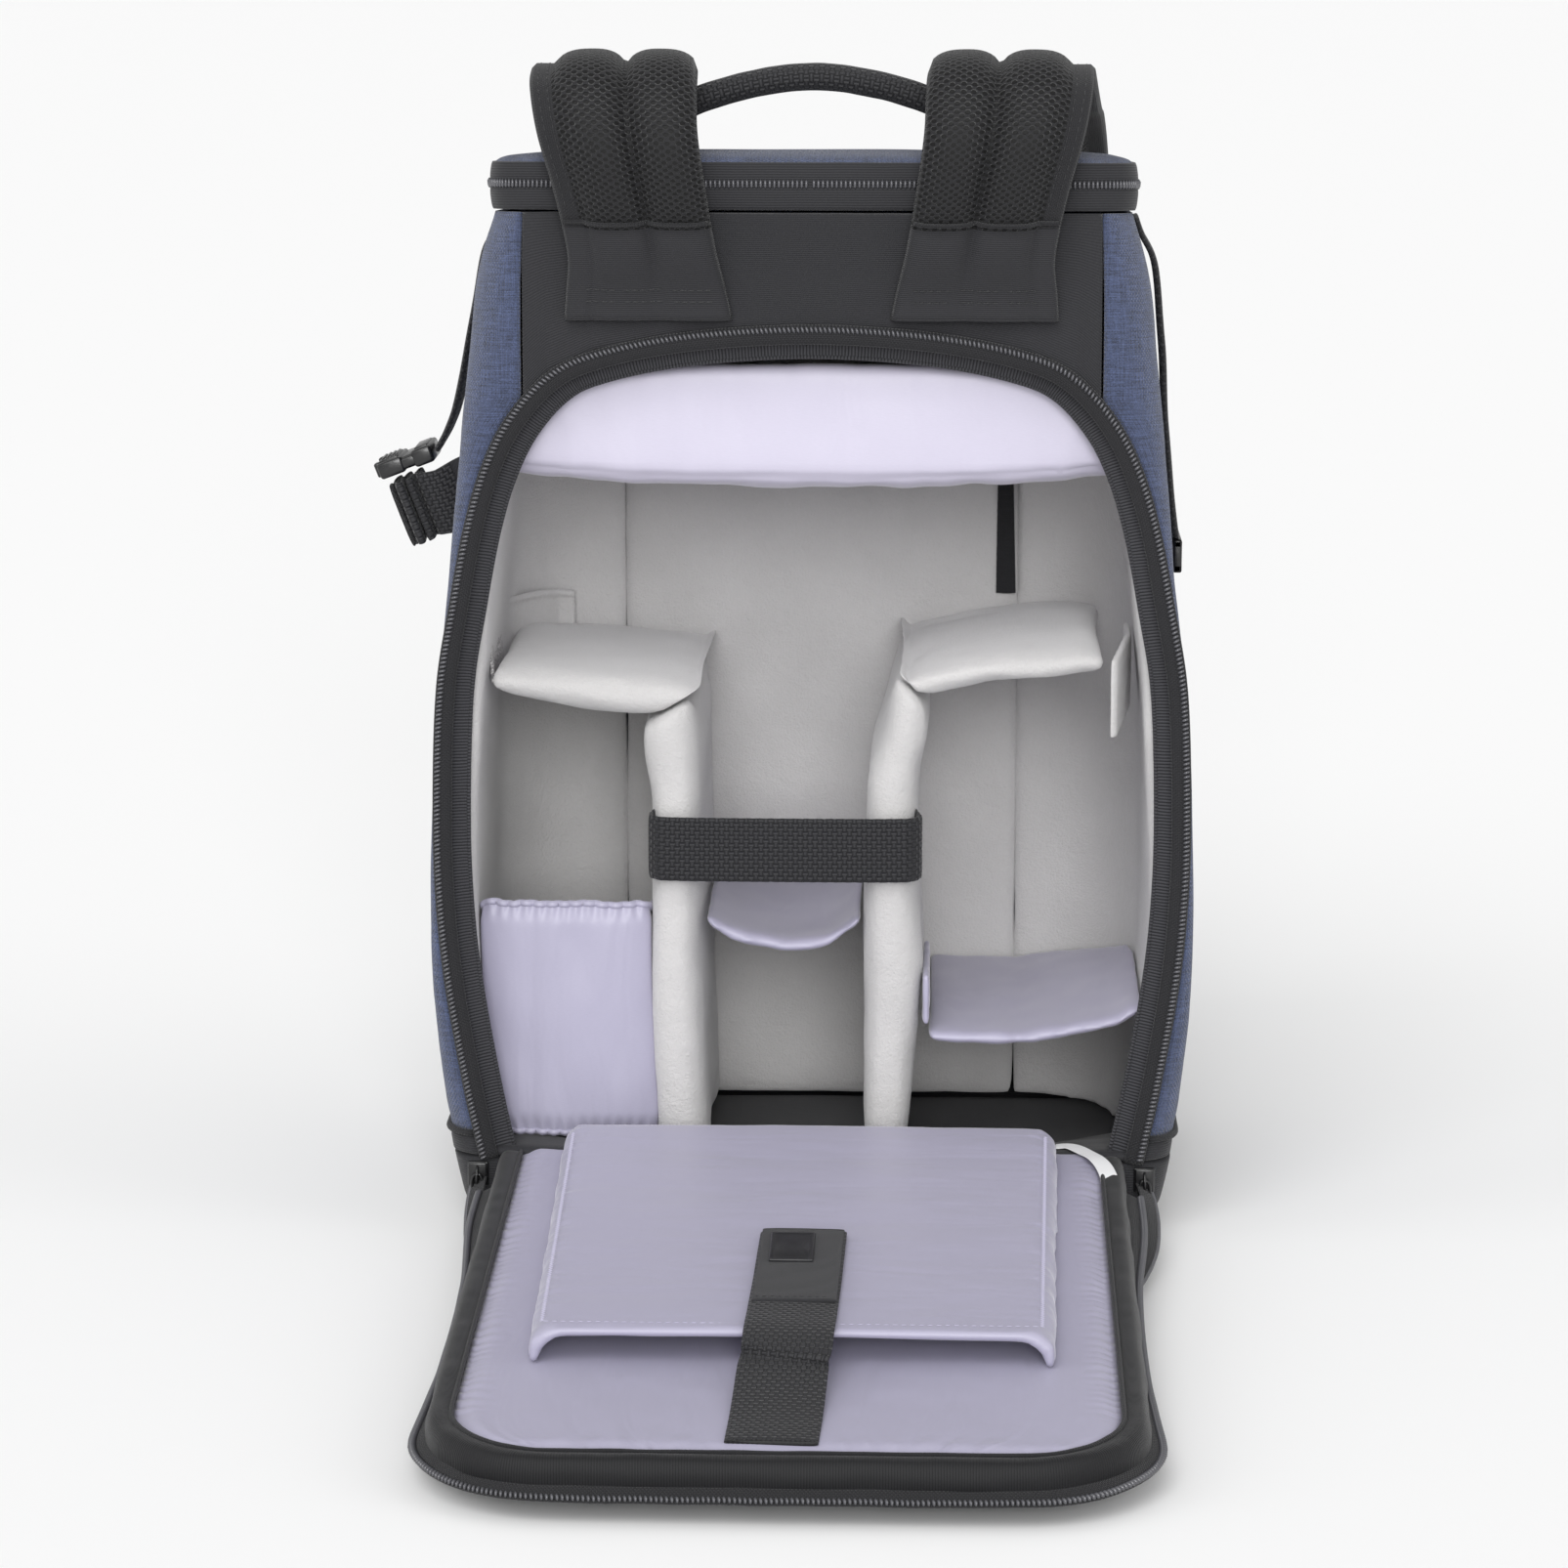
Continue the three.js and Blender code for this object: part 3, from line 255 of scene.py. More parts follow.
def flap_outline(count=161):
    """The flap's edge in its own plane, hinge at y = 0: right side, end, left side."""
    side, end, bend = FLAP_HALF, -FLAP_LENGTH, FLAP_ROUND * 0.45
    corner = [
        Vector((side, end + FLAP_ROUND, 0)), Vector((side, end + bend, 0)),
        Vector((side - bend, end, 0)), Vector((side - FLAP_ROUND, end, 0)),
    ]
    right = [Vector((side, -0.5, 0))]
    for k in range(17):
        t = k / 16
        s = 1 - t
        right.append(corner[0] * s**3 + corner[1] * 3 * s * s * t
                     + corner[2] * 3 * s * t * t + corner[3] * t**3)
    left = [Vector((-p.x, p.y, 0)) for p in reversed(right)]
    return respaced(right + left, count)


FLAP_EDGE = flap_outline()
FLAP_RUN = lengths(FLAP_EDGE)
FLAP_TURN = Matrix.Translation((0, REAR - 0.3, HINGE_Z)) @ Matrix.Rotation(FLAP_TILT, 4, "X")


def on_flap(x, y, z):
    """From the flap's own plane to the bag's frame."""
    return FLAP_TURN @ Vector((x, y, z))


def finish_mesh(bm, name, looks, nodes=()):
    """Turns a bmesh in millimetres into a piece that rides on the bag and stands for its nodes."""
    bmesh.ops.scale(bm, vec=(MM, MM, MM), verts=bm.verts)
    mesh = bpy.data.meshes.new(name)
    bm.to_mesh(mesh)
    bm.free()
    mesh.shade_smooth()
    piece = bpy.data.objects.new(name, mesh)
    bpy.context.scene.collection.objects.link(piece)
    for look in looks if isinstance(looks, list) else [looks]:
        mesh.materials.append(finish(look))
    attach(piece, "root")
    if nodes:
        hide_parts(*nodes)
    return piece


def cloth_grid(across, along, place, size=(100.0, 100.0), closed=False, caps=False, bm=None,
               spread=None):
    """A grid laid by place(u, v), its UV map in millimetres of cloth, columns at spread."""
    own = bmesh.new()
    layer = own.loops.layers.uv.new("cloth")
    bmesh.ops.create_grid(own, x_segments=across, y_segments=along, size=0.5)
    for face in own.faces:
        for loop in face.loops:
            u, v = loop.vert.co.x + 0.5, loop.vert.co.y + 0.5
            reach = spread[round(u * across)] if spread else u * size[0]
            loop[layer].uv = (reach, v * size[1])
    for vert in own.verts:
        vert.co = place(clamp(vert.co.x + 0.5), clamp(vert.co.y + 0.5))
    if closed:
        bmesh.ops.remove_doubles(own, verts=own.verts, dist=1e-3)
    if caps:
        edge = [e for e in own.edges if e.is_boundary]
        bmesh.ops.holes_fill(own, edges=edge, sides=0)
    return own if bm is None else join_into(bm, own)


def cloth_mesh():
    """An empty bmesh with the cloth's UV map, to join pieces into."""
    bm = bmesh.new()
    bm.loops.layers.uv.new("cloth")
    return bm


def join_into(bm, other):
    """Adds one bmesh to another, UV map and material numbers included."""
    spare = bpy.data.meshes.new("spare")
    other.to_mesh(spare)
    other.free()
    bm.from_mesh(spare)
    bpy.data.meshes.remove(spare)
    return bm


def thicken(bm, wall, facing=None, centre=(0, 0, 200)):
    """Gives a sheet its wall behind the face seen: towards facing, or away from centre."""
    bmesh.ops.recalc_face_normals(bm, faces=bm.faces)
    shown = 0.0
    for face in bm.faces:
        way = Vector(facing) if facing else face.calc_center_median() - Vector(centre)
        shown += face.normal.dot(way) * face.calc_area()
    if shown < 0:
        bmesh.ops.reverse_faces(bm, faces=bm.faces)
    bmesh.ops.solidify(bm, geom=bm.faces[:], thickness=wall)
    return bm


def tube(points, section, ups, bm=None):
    """Sweeps a closed section (across, out) along points; ups give the out direction."""
    last = len(points) - 1
    run = lengths(points)
    frames = []
    for i, point in enumerate(points):
        tangent = (points[min(i + 1, last)] - points[max(i - 1, 0)]).normalized()
        up = ups(i / last) if callable(ups) else ups
        side = tangent.cross(up).normalized()
        frames.append((point, side, side.cross(tangent).normalized()))

    def place(u, v):
        point, side, out = frames[min(int(round(v * last)), last)]
        a, b = section(u, v)
        return point + side * a + out * b

    round_it = lengths([Vector((*section(k / 24, 0.5), 0)) for k in range(25)])
    return cloth_grid(24, last, place, size=(0, run[-1]), closed=True, spread=round_it, caps=True,
                      bm=bm)


def flat_section(width, thick):
    """A strap's section with soft edges, counted round by u."""

    def at(u, v):
        angle = 2 * math.pi * u
        c, s = math.cos(angle), math.sin(angle)
        return (math.copysign(abs(c) ** 0.35, c) * width / 2,
                math.copysign(abs(s) ** 0.6, s) * thick / 2)

    return at


def wavy_section(width, thick, wave, run, seed, size):
    """A strap's section whose faces wave along it."""
    flat = flat_section(width, thick)

    def at(u, v):
        a, b = flat(u, v)
        return a, b + wave * lumps(v * run, a, seed, size)

    return at


def linked(name, bm):
    """A scratch object with the bmesh in it; the bmesh is freed."""
    mesh = bpy.data.meshes.new(name)
    bm.to_mesh(mesh)
    bm.free()
    body = bpy.data.objects.new(name, mesh)
    bpy.context.scene.collection.objects.link(body)
    return body


def taken(body):
    """The evaluated mesh of a scratch object, which is removed."""
    made = bmesh.new()
    made.from_object(body, bpy.context.evaluated_depsgraph_get())
    bpy.context.scene.frame_set(1)
    mesh = body.data
    bpy.data.objects.remove(body)
    bpy.data.meshes.remove(mesh)
    return made


def cushion_from(node, voxel):
    """A node's own solid as an even mesh, in millimetres."""
    bm = bmesh.new()
    bm.from_mesh(bpy.data.objects[node].data)
    bm.transform(bpy.data.objects[node].matrix_world)
    bmesh.ops.scale(bm, vec=(1 / MM, 1 / MM, 1 / MM), verts=bm.verts)
    bmesh.ops.remove_doubles(bm, verts=bm.verts, dist=0.01)
    body = linked("even", bm)
    even = body.modifiers.new("even", "REMESH")
    even.mode, even.voxel_size = "VOXEL", voxel
    return taken(body)


def puffed(bm, cap, pressure=4.0, shrink=0.0, pinned=None):
    """Fills a closed mesh (millimetres) like a cushion; no point moves further than cap."""
    bm.normal_update()
    for vert in bm.verts:
        vert.co -= vert.normal * shrink
    bmesh.ops.scale(bm, vec=(MM, MM, MM), verts=bm.verts)
    rest = [v.co.copy() for v in bm.verts]
    body = linked("filled", bm)
    held = body.vertex_groups.new(name="held")
    for i, co in enumerate(rest):
        weight = pinned(co / MM)
        if weight > 0:
            held.add([i], weight, "REPLACE")
    cloth = body.modifiers.new("fill", "CLOTH")
    for key, value in {"quality": 6, "mass": 0.25, "tension_stiffness": 15.0,
                       "compression_stiffness": 15.0, "bending_stiffness": 0.4,
                       "use_pressure": True, "uniform_pressure_force": pressure,
                       "vertex_group_mass": "held"}.items():
        setattr(cloth.settings, key, value)
    cloth.settings.effector_weights.gravity = 0
    cloth.point_cache.frame_end = FILL_FRAMES
    for number in range(1, FILL_FRAMES + 1):
        bpy.context.scene.frame_set(number)
        body.evaluated_get(bpy.context.evaluated_depsgraph_get())
    made = taken(body)
    made.verts.ensure_lookup_table()
    for vert, co in zip(made.verts, rest):
        move = vert.co - co
        if move.length > cap * MM:
            vert.co = co + move.normalized() * cap * MM
    bmesh.ops.scale(made, vec=(1 / MM, 1 / MM, 1 / MM), verts=made.verts)
    return made


def eased(bm, times=2):
    for _ in range(times):
        bmesh.ops.smooth_vert(bm, verts=bm.verts, factor=0.5,
                              use_axis_x=True, use_axis_y=True, use_axis_z=True)
    return bm


def finer(bm):
    """Halves every edge, so that seams and creases can be pressed in."""
    bmesh.ops.subdivide_edges(bm, edges=bm.edges, cuts=1, use_grid_fill=True)
    return eased(bm, 1)


def shifted(bm, move):
    """Moves each point by move(point), in millimetres."""
    for vert in bm.verts:
        vert.co += move(vert.co)
    return bm


def pushed(bm, amount):
    """Moves each point along its normal by amount(point), in millimetres."""
    bm.normal_update()
    moves = [(v, v.normal * amount(v.co, v.normal)) for v in bm.verts]
    for vert, move in moves:
        vert.co += move
    return bm


def round_section(wide, high):
    """Cross-section of a round cord, for tube."""
    return lambda u, v: (wide * math.cos(2 * math.pi * u), high * math.sin(2 * math.pi * u))


def box_of(node):
    """Lowest and highest corner of a node's own box, in millimetres."""
    return [Vector(corner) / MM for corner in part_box(node)]


def stitches(points, ups, stitch, spacing, thread, bm):
    """A row of small round-ended stitches along a line of points."""
    run = lengths(points)
    count = max(int(run[-1] / spacing), 1)
    grow = Matrix.Diagonal((stitch / 2, thread / 2, thread / 2, 1))
    for k in range(count):
        at = walk(points, run, (k + 0.5) * spacing)
        ahead = walk(points, run, (k + 0.5) * spacing + 0.5) - at
        if ahead.length < 1e-6:
            continue
        forward = ahead.normalized()
        side = forward.cross(ups((k + 0.5) / count) if callable(ups) else ups).normalized()
        turn = Matrix((forward, side, side.cross(forward))).transposed().to_4x4()
        turn.translation = at
        bmesh.ops.create_icosphere(bm, subdivisions=1, radius=1, matrix=turn @ grow)
    return bm


class Net:
    """Small helper to place and join shader nodes in one tree."""

    def __init__(self, tree):
        self.tree = tree

    def node(self, kind, sockets=(), **settings):
        made = self.tree.nodes.new(kind)
        for key, value in settings.items():
            setattr(made, key, value)
        for key, value in dict(sockets).items():
            self.put(made.inputs[key], value)
        return made

    def put(self, socket, value):
        if isinstance(value, bpy.types.NodeSocket):
            self.tree.links.new(value, socket)
        else:
            socket.default_value = value

    def math(self, operation, a, b=0.0, clamped=False):
        made = self.node("ShaderNodeMath", operation=operation, use_clamp=clamped)
        self.put(made.inputs[0], a)
        self.put(made.inputs[1], b)
        return made.outputs[0]

    def ramp(self, value, low, high):
        made = self.node("ShaderNodeMapRange", interpolation_type="SMOOTHSTEP")
        for key, one in (("Value", value), ("From Min", low), ("From Max", high)):
            self.put(made.inputs[key], one)
        return made.outputs["Result"]

    def noise(self, where, scale, detail=2.0, rough=0.5):
        made = self.node("ShaderNodeTexNoise",
                         {"Vector": where, "Scale": scale, "Detail": detail, "Roughness": rough})
        return made.outputs["Fac"]

    def stretched(self, where, scale):
        made = self.node("ShaderNodeMapping", {"Vector": where, "Scale": scale})
        return made.outputs["Vector"]

    def tint(self, share, a, b):
        made = self.node("ShaderNodeMix", data_type="RGBA")
        self.put(made.inputs["Factor"], share)
        self.put(made.inputs["A"], a)
        self.put(made.inputs["B"], b)
        return made.outputs["Result"]


def new_group(name, inputs, outputs):
    tree = bpy.data.node_groups.new(name, "ShaderNodeTree")
    for label, kind, default in inputs:
        socket = tree.interface.new_socket(label, in_out="INPUT", socket_type=kind)
        if default is not None:
            socket.default_value = default
    for label in outputs:
        tree.interface.new_socket(label, in_out="OUTPUT", socket_type="NodeSocketFloat")
    net = Net(tree)
    return net, net.node("NodeGroupInput"), net.node("NodeGroupOutput")


NUMBER = "NodeSocketFloat"
PLACE = "NodeSocketVector"


def weave_group():
    """Crossing threads, over and under, from a place in millimetres."""
    net, given, made = new_group(
        "crossing threads",
        [("Place", PLACE, None), ("Across", NUMBER, 1.0), ("Along", NUMBER, 1.0)],
        ["Height", "Shade"],
    )
    split = net.node("ShaderNodeSeparateXYZ", {0: given.outputs["Place"]})
    u = net.math("MULTIPLY", net.math("DIVIDE", split.outputs["X"], given.outputs["Across"]), math.pi)
    v = net.math("MULTIPLY", net.math("DIVIDE", split.outputs["Y"], given.outputs["Along"]), math.pi)
    su, sv = net.math("SINE", u), net.math("SINE", v)
    warp = net.math("ABSOLUTE", su)
    weft = net.math("ABSOLUTE", sv)
    over = net.ramp(net.math("MULTIPLY", su, sv), -0.12, 0.12)
    pick = net.node("ShaderNodeMix", {"Factor": over}, data_type="FLOAT")
    net.put(pick.inputs["A"], warp)
    net.put(pick.inputs["B"], weft)
    net.put(made.inputs["Height"], pick.outputs["Result"])
    net.put(made.inputs["Shade"], over)
    return net.tree


def rib_group():
    """Fine raised ribs with an uneven beat."""
    net, given, made = new_group(
        "fine ribs",
        [("Place", PLACE, None), ("Pitch", NUMBER, 1.4), ("Unevenness", NUMBER, 0.3)],
        ["Height", "Shade"],
    )
    split = net.node("ShaderNodeSeparateXYZ", {0: given.outputs["Place"]})
    drift = net.noise(given.outputs["Place"], 0.09)
    offset = net.math("MULTIPLY", drift, given.outputs["Unevenness"])
    v = net.math("ADD", net.math("DIVIDE", split.outputs["Y"], given.outputs["Pitch"]), offset)
    wave = net.math("ABSOLUTE", net.math("SINE", net.math("MULTIPLY", v, math.pi)))
    grain = net.noise(net.stretched(given.outputs["Place"], (3.0, 0.7, 1.0)), 1.0)
    net.put(made.inputs["Height"], net.math("MULTIPLY", wave, net.math("ADD", grain, 0.5)))
    net.put(made.inputs["Shade"], grain)
    return net.tree


def heather_group():
    """Melange of dark and light yarns that run both ways."""
    net, given, made = new_group(
        "heather yarns",
        [("Place", PLACE, None), ("Yarn", NUMBER, 1.0), ("Contrast", NUMBER, 0.5)],
        ["Shade", "Height"],
    )
    place = net.node("ShaderNodeVectorMath", operation="SCALE")
    net.put(place.inputs[0], given.outputs["Place"])
    net.put(place.inputs["Scale"], given.outputs["Yarn"])
    flat = place.outputs["Vector"]
    weft = net.noise(net.stretched(flat, (0.16, 2.1, 1.0)), 1.0, 3.0, 0.65)
    warp = net.noise(net.stretched(flat, (2.1, 0.16, 1.0)), 1.0, 3.0, 0.65)
    fine = net.noise(flat, 2.6, 2.0)
    both = net.math("ADD", net.math("MULTIPLY", weft, 0.55), net.math("MULTIPLY", warp, 0.45))
    lively = net.math("ADD", both, net.math("MULTIPLY", net.math("SUBTRACT", fine, 0.5), 0.35))
    away = net.math("SUBTRACT", lively, 0.5)
    shade = net.math("ADD", 0.5, net.math("MULTIPLY", away, net.math(
        "MULTIPLY", given.outputs["Contrast"], 5.0)), clamped=True)
    net.put(made.inputs["Shade"], shade)
    net.put(made.inputs["Height"], lively)
    return net.tree


def holes_group():
    """Staggered round holes of a spacer mesh, and the loops between them."""
    net, given, made = new_group(
        "open mesh",
        [("Place", PLACE, None), ("Pitch", NUMBER, 3.4), ("Hole", NUMBER, 0.33)],
        ["Hole", "Height"],
    )
    turn = net.node("ShaderNodeMapping", {"Vector": given.outputs["Place"],
                                          "Rotation": (0, 0, math.pi / 4),
                                          "Scale": (0.82, 1.12, 1.0)})
    scaled = net.node("ShaderNodeVectorMath", operation="DIVIDE")
    net.put(scaled.inputs[0], turn.outputs["Vector"])
    pitch = net.node("ShaderNodeCombineXYZ")
    for axis in "XYZ":
        net.put(pitch.inputs[axis], given.outputs["Pitch"])
    net.put(scaled.inputs[1], pitch.outputs["Vector"])
    cells = net.node("ShaderNodeTexVoronoi", {"Vector": scaled.outputs["Vector"], "Scale": 1.41,
                                              "Randomness": 0.12},
                     voronoi_dimensions="2D")
    away = cells.outputs["Distance"]
    edge = net.math("ADD", given.outputs["Hole"], 0.13)
    solid = net.ramp(away, given.outputs["Hole"], edge)
    dome = net.math("MULTIPLY", solid, net.math("ADD", net.math("MULTIPLY", net.noise(
        given.outputs["Place"], 2.2), 0.35), 0.7))
    net.put(made.inputs["Hole"], net.math("SUBTRACT", 1.0, solid))
    net.put(made.inputs["Height"], dome)
    return net.tree


def nap_group():
    """Brushed pile: short fibres, soft blotches where it was stroked."""
    net, given, made = new_group(
        "brushed nap",
        [("Place", PLACE, None), ("Fibre", NUMBER, 1.0), ("Blotch", NUMBER, 0.02)],
        ["Height", "Shade", "Fibre"],
    )
    where = given.outputs["Place"]
    fibre = net.noise(where, given.outputs["Fibre"], 4.0, 0.7)
    wide = net.noise(where, given.outputs["Blotch"], 3.0, 0.55)
    middle = net.noise(where, net.math("MULTIPLY", given.outputs["Fibre"], 0.28), 2.0, 0.6)
    net.put(made.inputs["Height"], net.math("ADD", fibre, net.math("MULTIPLY", middle, 0.8)))
    net.put(made.inputs["Shade"], wide)
    net.put(made.inputs["Fibre"], fibre)
    return net.tree


def creases_group():
    """Long soft creases of a slippery cloth, with fine threads."""
    net, given, made = new_group(
        "satin creases",
        [("Place", PLACE, None), ("Across", NUMBER, 0.05), ("Along", NUMBER, 0.02)],
        ["Height", "Shade"],
    )
    flat = net.node("ShaderNodeSeparateXYZ", {0: given.outputs["Place"]})
    where = net.node("ShaderNodeCombineXYZ")
    net.put(where.inputs["X"], net.math("MULTIPLY", flat.outputs["X"], given.outputs["Across"]))
    net.put(where.inputs["Y"], net.math("MULTIPLY", flat.outputs["Y"], given.outputs["Along"]))
    net.put(where.inputs["Z"], net.math("MULTIPLY", flat.outputs["Z"], given.outputs["Along"]))
    long = net.node("ShaderNodeTexNoise", {"Vector": where.outputs["Vector"], "Scale": 1.0,
                                           "Detail": 2.0, "Distortion": 0.6})
    thread = net.noise(net.stretched(given.outputs["Place"], (0.5, 3.0, 3.0)), 1.0, 2.0)
    net.put(made.inputs["Height"], net.math(
        "ADD", net.math("MULTIPLY", long.outputs["Fac"], 3.0), net.math("MULTIPLY", thread, 0.1)))
    net.put(made.inputs["Shade"], thread)
    return net.tree


GROUP_MAKERS = {
    "weave": weave_group, "ribs": rib_group, "heather": heather_group, "holes": holes_group,
    "nap": nap_group, "creases": creases_group,
}


def group_of(kind):
    key = f"made {kind}"
    found = bpy.data.node_groups.get(key)
    if found is None:
        found = GROUP_MAKERS[kind]()
        found.name = key
    return found


class Finish:
    """One material: a Principled shader on the cloth's own millimetres."""

    def __init__(self, name, rough, sheen=0.0, sheen_rough=0.5, coat=0.0, cloth=True, **plain):
        self.material = bpy.data.materials.new(name)
        self.material.use_nodes = True
        self.net = Net(self.material.node_tree)
        self.shader = self.material.node_tree.nodes["Principled BSDF"]
        self.shader.inputs["Roughness"].default_value = rough
        self.shader.inputs["Sheen Weight"].default_value = sheen
        self.shader.inputs["Sheen Roughness"].default_value = sheen_rough
        self.shader.inputs["Coat Weight"].default_value = coat
        for key, value in plain.items():
            self.shader.inputs[key.replace("_", " ")].default_value = value
        if cloth:
            self.place = self.net.node("ShaderNodeUVMap", uv_map="cloth").outputs["UV"]
        else:
            where = self.net.node("ShaderNodeTexCoord").outputs["Object"]
            self.place = self.net.stretched(where, (1 / MM, 1 / MM, 1 / MM))

    def group(self, kind, **values):
        made = self.net.node("ShaderNodeGroup", node_tree=group_of(kind))
        self.net.put(made.inputs["Place"], self.place)
        for key, value in values.items():
            self.net.put(made.inputs[key], value)
        return made.outputs

    def colour(self, share, a, b):
        self.net.put(self.shader.inputs["Base Color"], self.net.tint(share, opaque(a), opaque(b)))

    def plain_colour(self, value):
        self.shader.inputs["Base Color"].default_value = opaque(value)

    def bump(self, height, depth, strength=1.0):
        made = self.net.node("ShaderNodeBump", {"Height": height, "Distance": depth * MM,
                                                "Strength": strength})
        self.net.put(self.shader.inputs["Normal"], made.outputs["Normal"])

    def roughness(self, share, low, high):
        made = self.net.node("ShaderNodeMapRange", {"Value": share, "To Min": low, "To Max": high})
        self.net.put(self.shader.inputs["Roughness"], made.outputs["Result"])


def opaque(colour):
    return (colour[0], colour[1], colour[2], 1.0)


def scaled(colour, factor):
    return tuple(min(c * factor, 1.0) for c in colour[:3])


FINISHES = {}


def finish(name):
    """The named material, made on first use."""
    if name not in FINISHES:
        FINISHES[name] = MAKERS[name](bpy.context.scene.pack_colours)
    return FINISHES[name]


def navy_heather(dye):
    made = Finish("navy heather cloth", 0.85, sheen=0.25, sheen_rough=0.5)
    yarn = made.group("heather", Yarn=0.62, Contrast=dye.heather_contrast)
    made.colour(yarn["Shade"], scaled(dye.navy, 0.5), scaled(dye.navy, 2.1))
    threads = made.group("weave", Across=0.9, Along=0.9)
    made.bump(made.net.math("ADD", threads["Height"], yarn["Height"]), 0.25)
    return made.material


def woven(name, rough, pattern, inputs, tones, bump, tone_and_painted_shade="Height", dye="black", **look):
    """A maker of cloths with one pattern: two tones of a dye and a bump."""

    def make(colours):
        made = Finish(name, rough, **look)
        values = {key: getattr(colours, to) if isinstance(to, str) else to
                  for key, to in inputs.items()}
        threads = made.group(pattern, **values)
        base = getattr(colours, dye) if isinstance(dye, str) else dye
        # Colour from the chosen output: Shade gives the grain's real tone, while Height and Hole give
        # painted shade in hollows and holes and painted highlight on crests.
        made.colour(threads[tone_and_painted_shade], scaled(base, tones[0]), scaled(base, tones[1]))
        made.bump(threads["Height"], bump)
        return made.material

    return make


DULL = {"Specular_IOR_Level": 0.25, "sheen": 0.13, "sheen_rough": 0.4}
PACK = ("ribs", {"Pitch": 1.05, "Unevenness": 0.6}, (1.0, 2.1), 0.22, "Shade")
# Spacer mesh: the holes are painted almost black, painted shade for the dark seen through them.
MESH = ("holes", {"Pitch": "mesh_pitch", "Hole": 0.3}, (0.82, 0.08), 1.1, "Hole")


def black_plastic(dye):
    made = Finish("black moulded plastic", 0.28, coat=0.2, cloth=False)
    grain = made.net.noise(made.place, 0.6, 3.0)
    made.plain_colour(scaled(dye.black, 0.35))
    made.roughness(grain, 0.2, 0.42)
    made.bump(grain, 0.05)
    return made.material


def zip_coil(dye):
    made = Finish("black zip coil", 0.3, coat=0.4, cloth=False)
    # The coil's colour is 4.6 times the black dye: painted highlight standing for the light its glossy
    # teeth catch.
    made.plain_colour(scaled(dye.black, 4.6))
    return made.material


def grey_brushed(dye, cloth=False):
    made = Finish("grey brushed lining", 0.95, sheen=0.55, sheen_rough=0.45, cloth=cloth)
    pile = made.group("nap", Fibre=1.1, Blotch=0.022)
    made.colour(made.net.math("ADD", made.net.math("MULTIPLY", pile["Shade"], 0.7),
                              made.net.math("MULTIPLY", pile["Fibre"], 0.3)),
                scaled(dye.grey, 0.8), scaled(dye.grey, 1.14))
    made.bump(pile["Height"], 0.65)
    return made.material


def lilac_satin(dye, cloth=False, across=0.075, along=0.018):
    made = Finish("lilac satin", 0.42, sheen=0.35, sheen_rough=0.3, cloth=cloth)
    cloth_creases = made.group("creases", Across=across, Along=along)
    made.colour(cloth_creases["Shade"], scaled(dye.lilac, 0.95), scaled(dye.lilac, 1.05))
    made.roughness(cloth_creases["Shade"], 0.38, 0.5)
    made.bump(cloth_creases["Height"], 0.3)
    return made.material


def pale_satin(dye):
    made = Finish("pale lilac satin", 0.45, sheen=0.35, sheen_rough=0.3, cloth=False)
    cloth_creases = made.group("creases", Across=0.05, Along=0.02)
    made.colour(cloth_creases["Shade"], scaled(dye.pale_lilac, 0.96), scaled(dye.pale_lilac, 1.03))
    made.bump(cloth_creases["Height"], 0.3)
    return made.material


def hook_tape(dye):
    made = Finish("grey hook tape", 0.6, cloth=False)
    speck = made.net.noise(made.place, 1.3, 2.0, 0.7)
    made.colour(made.net.ramp(speck, 0.45, 0.6), scaled(dye.grey, 0.5), scaled(dye.grey, 1.5))
    made.bump(speck, 0.8)
    return made.material


def thread(name, colour):
    made = Finish(name, 0.6, sheen=0.2, cloth=False)
    made.plain_colour(colour)
    made.bump(made.net.noise(made.place, 3.0), 0.05)
    return made.material


def badge_rubber(dye):
    made = Finish("black badge rubber", 0.4, cloth=False)
    made.plain_colour(scaled(dye.black, 1.0))
    made.bump(made.net.noise(made.place, 1.2), 0.06)
    return made.material


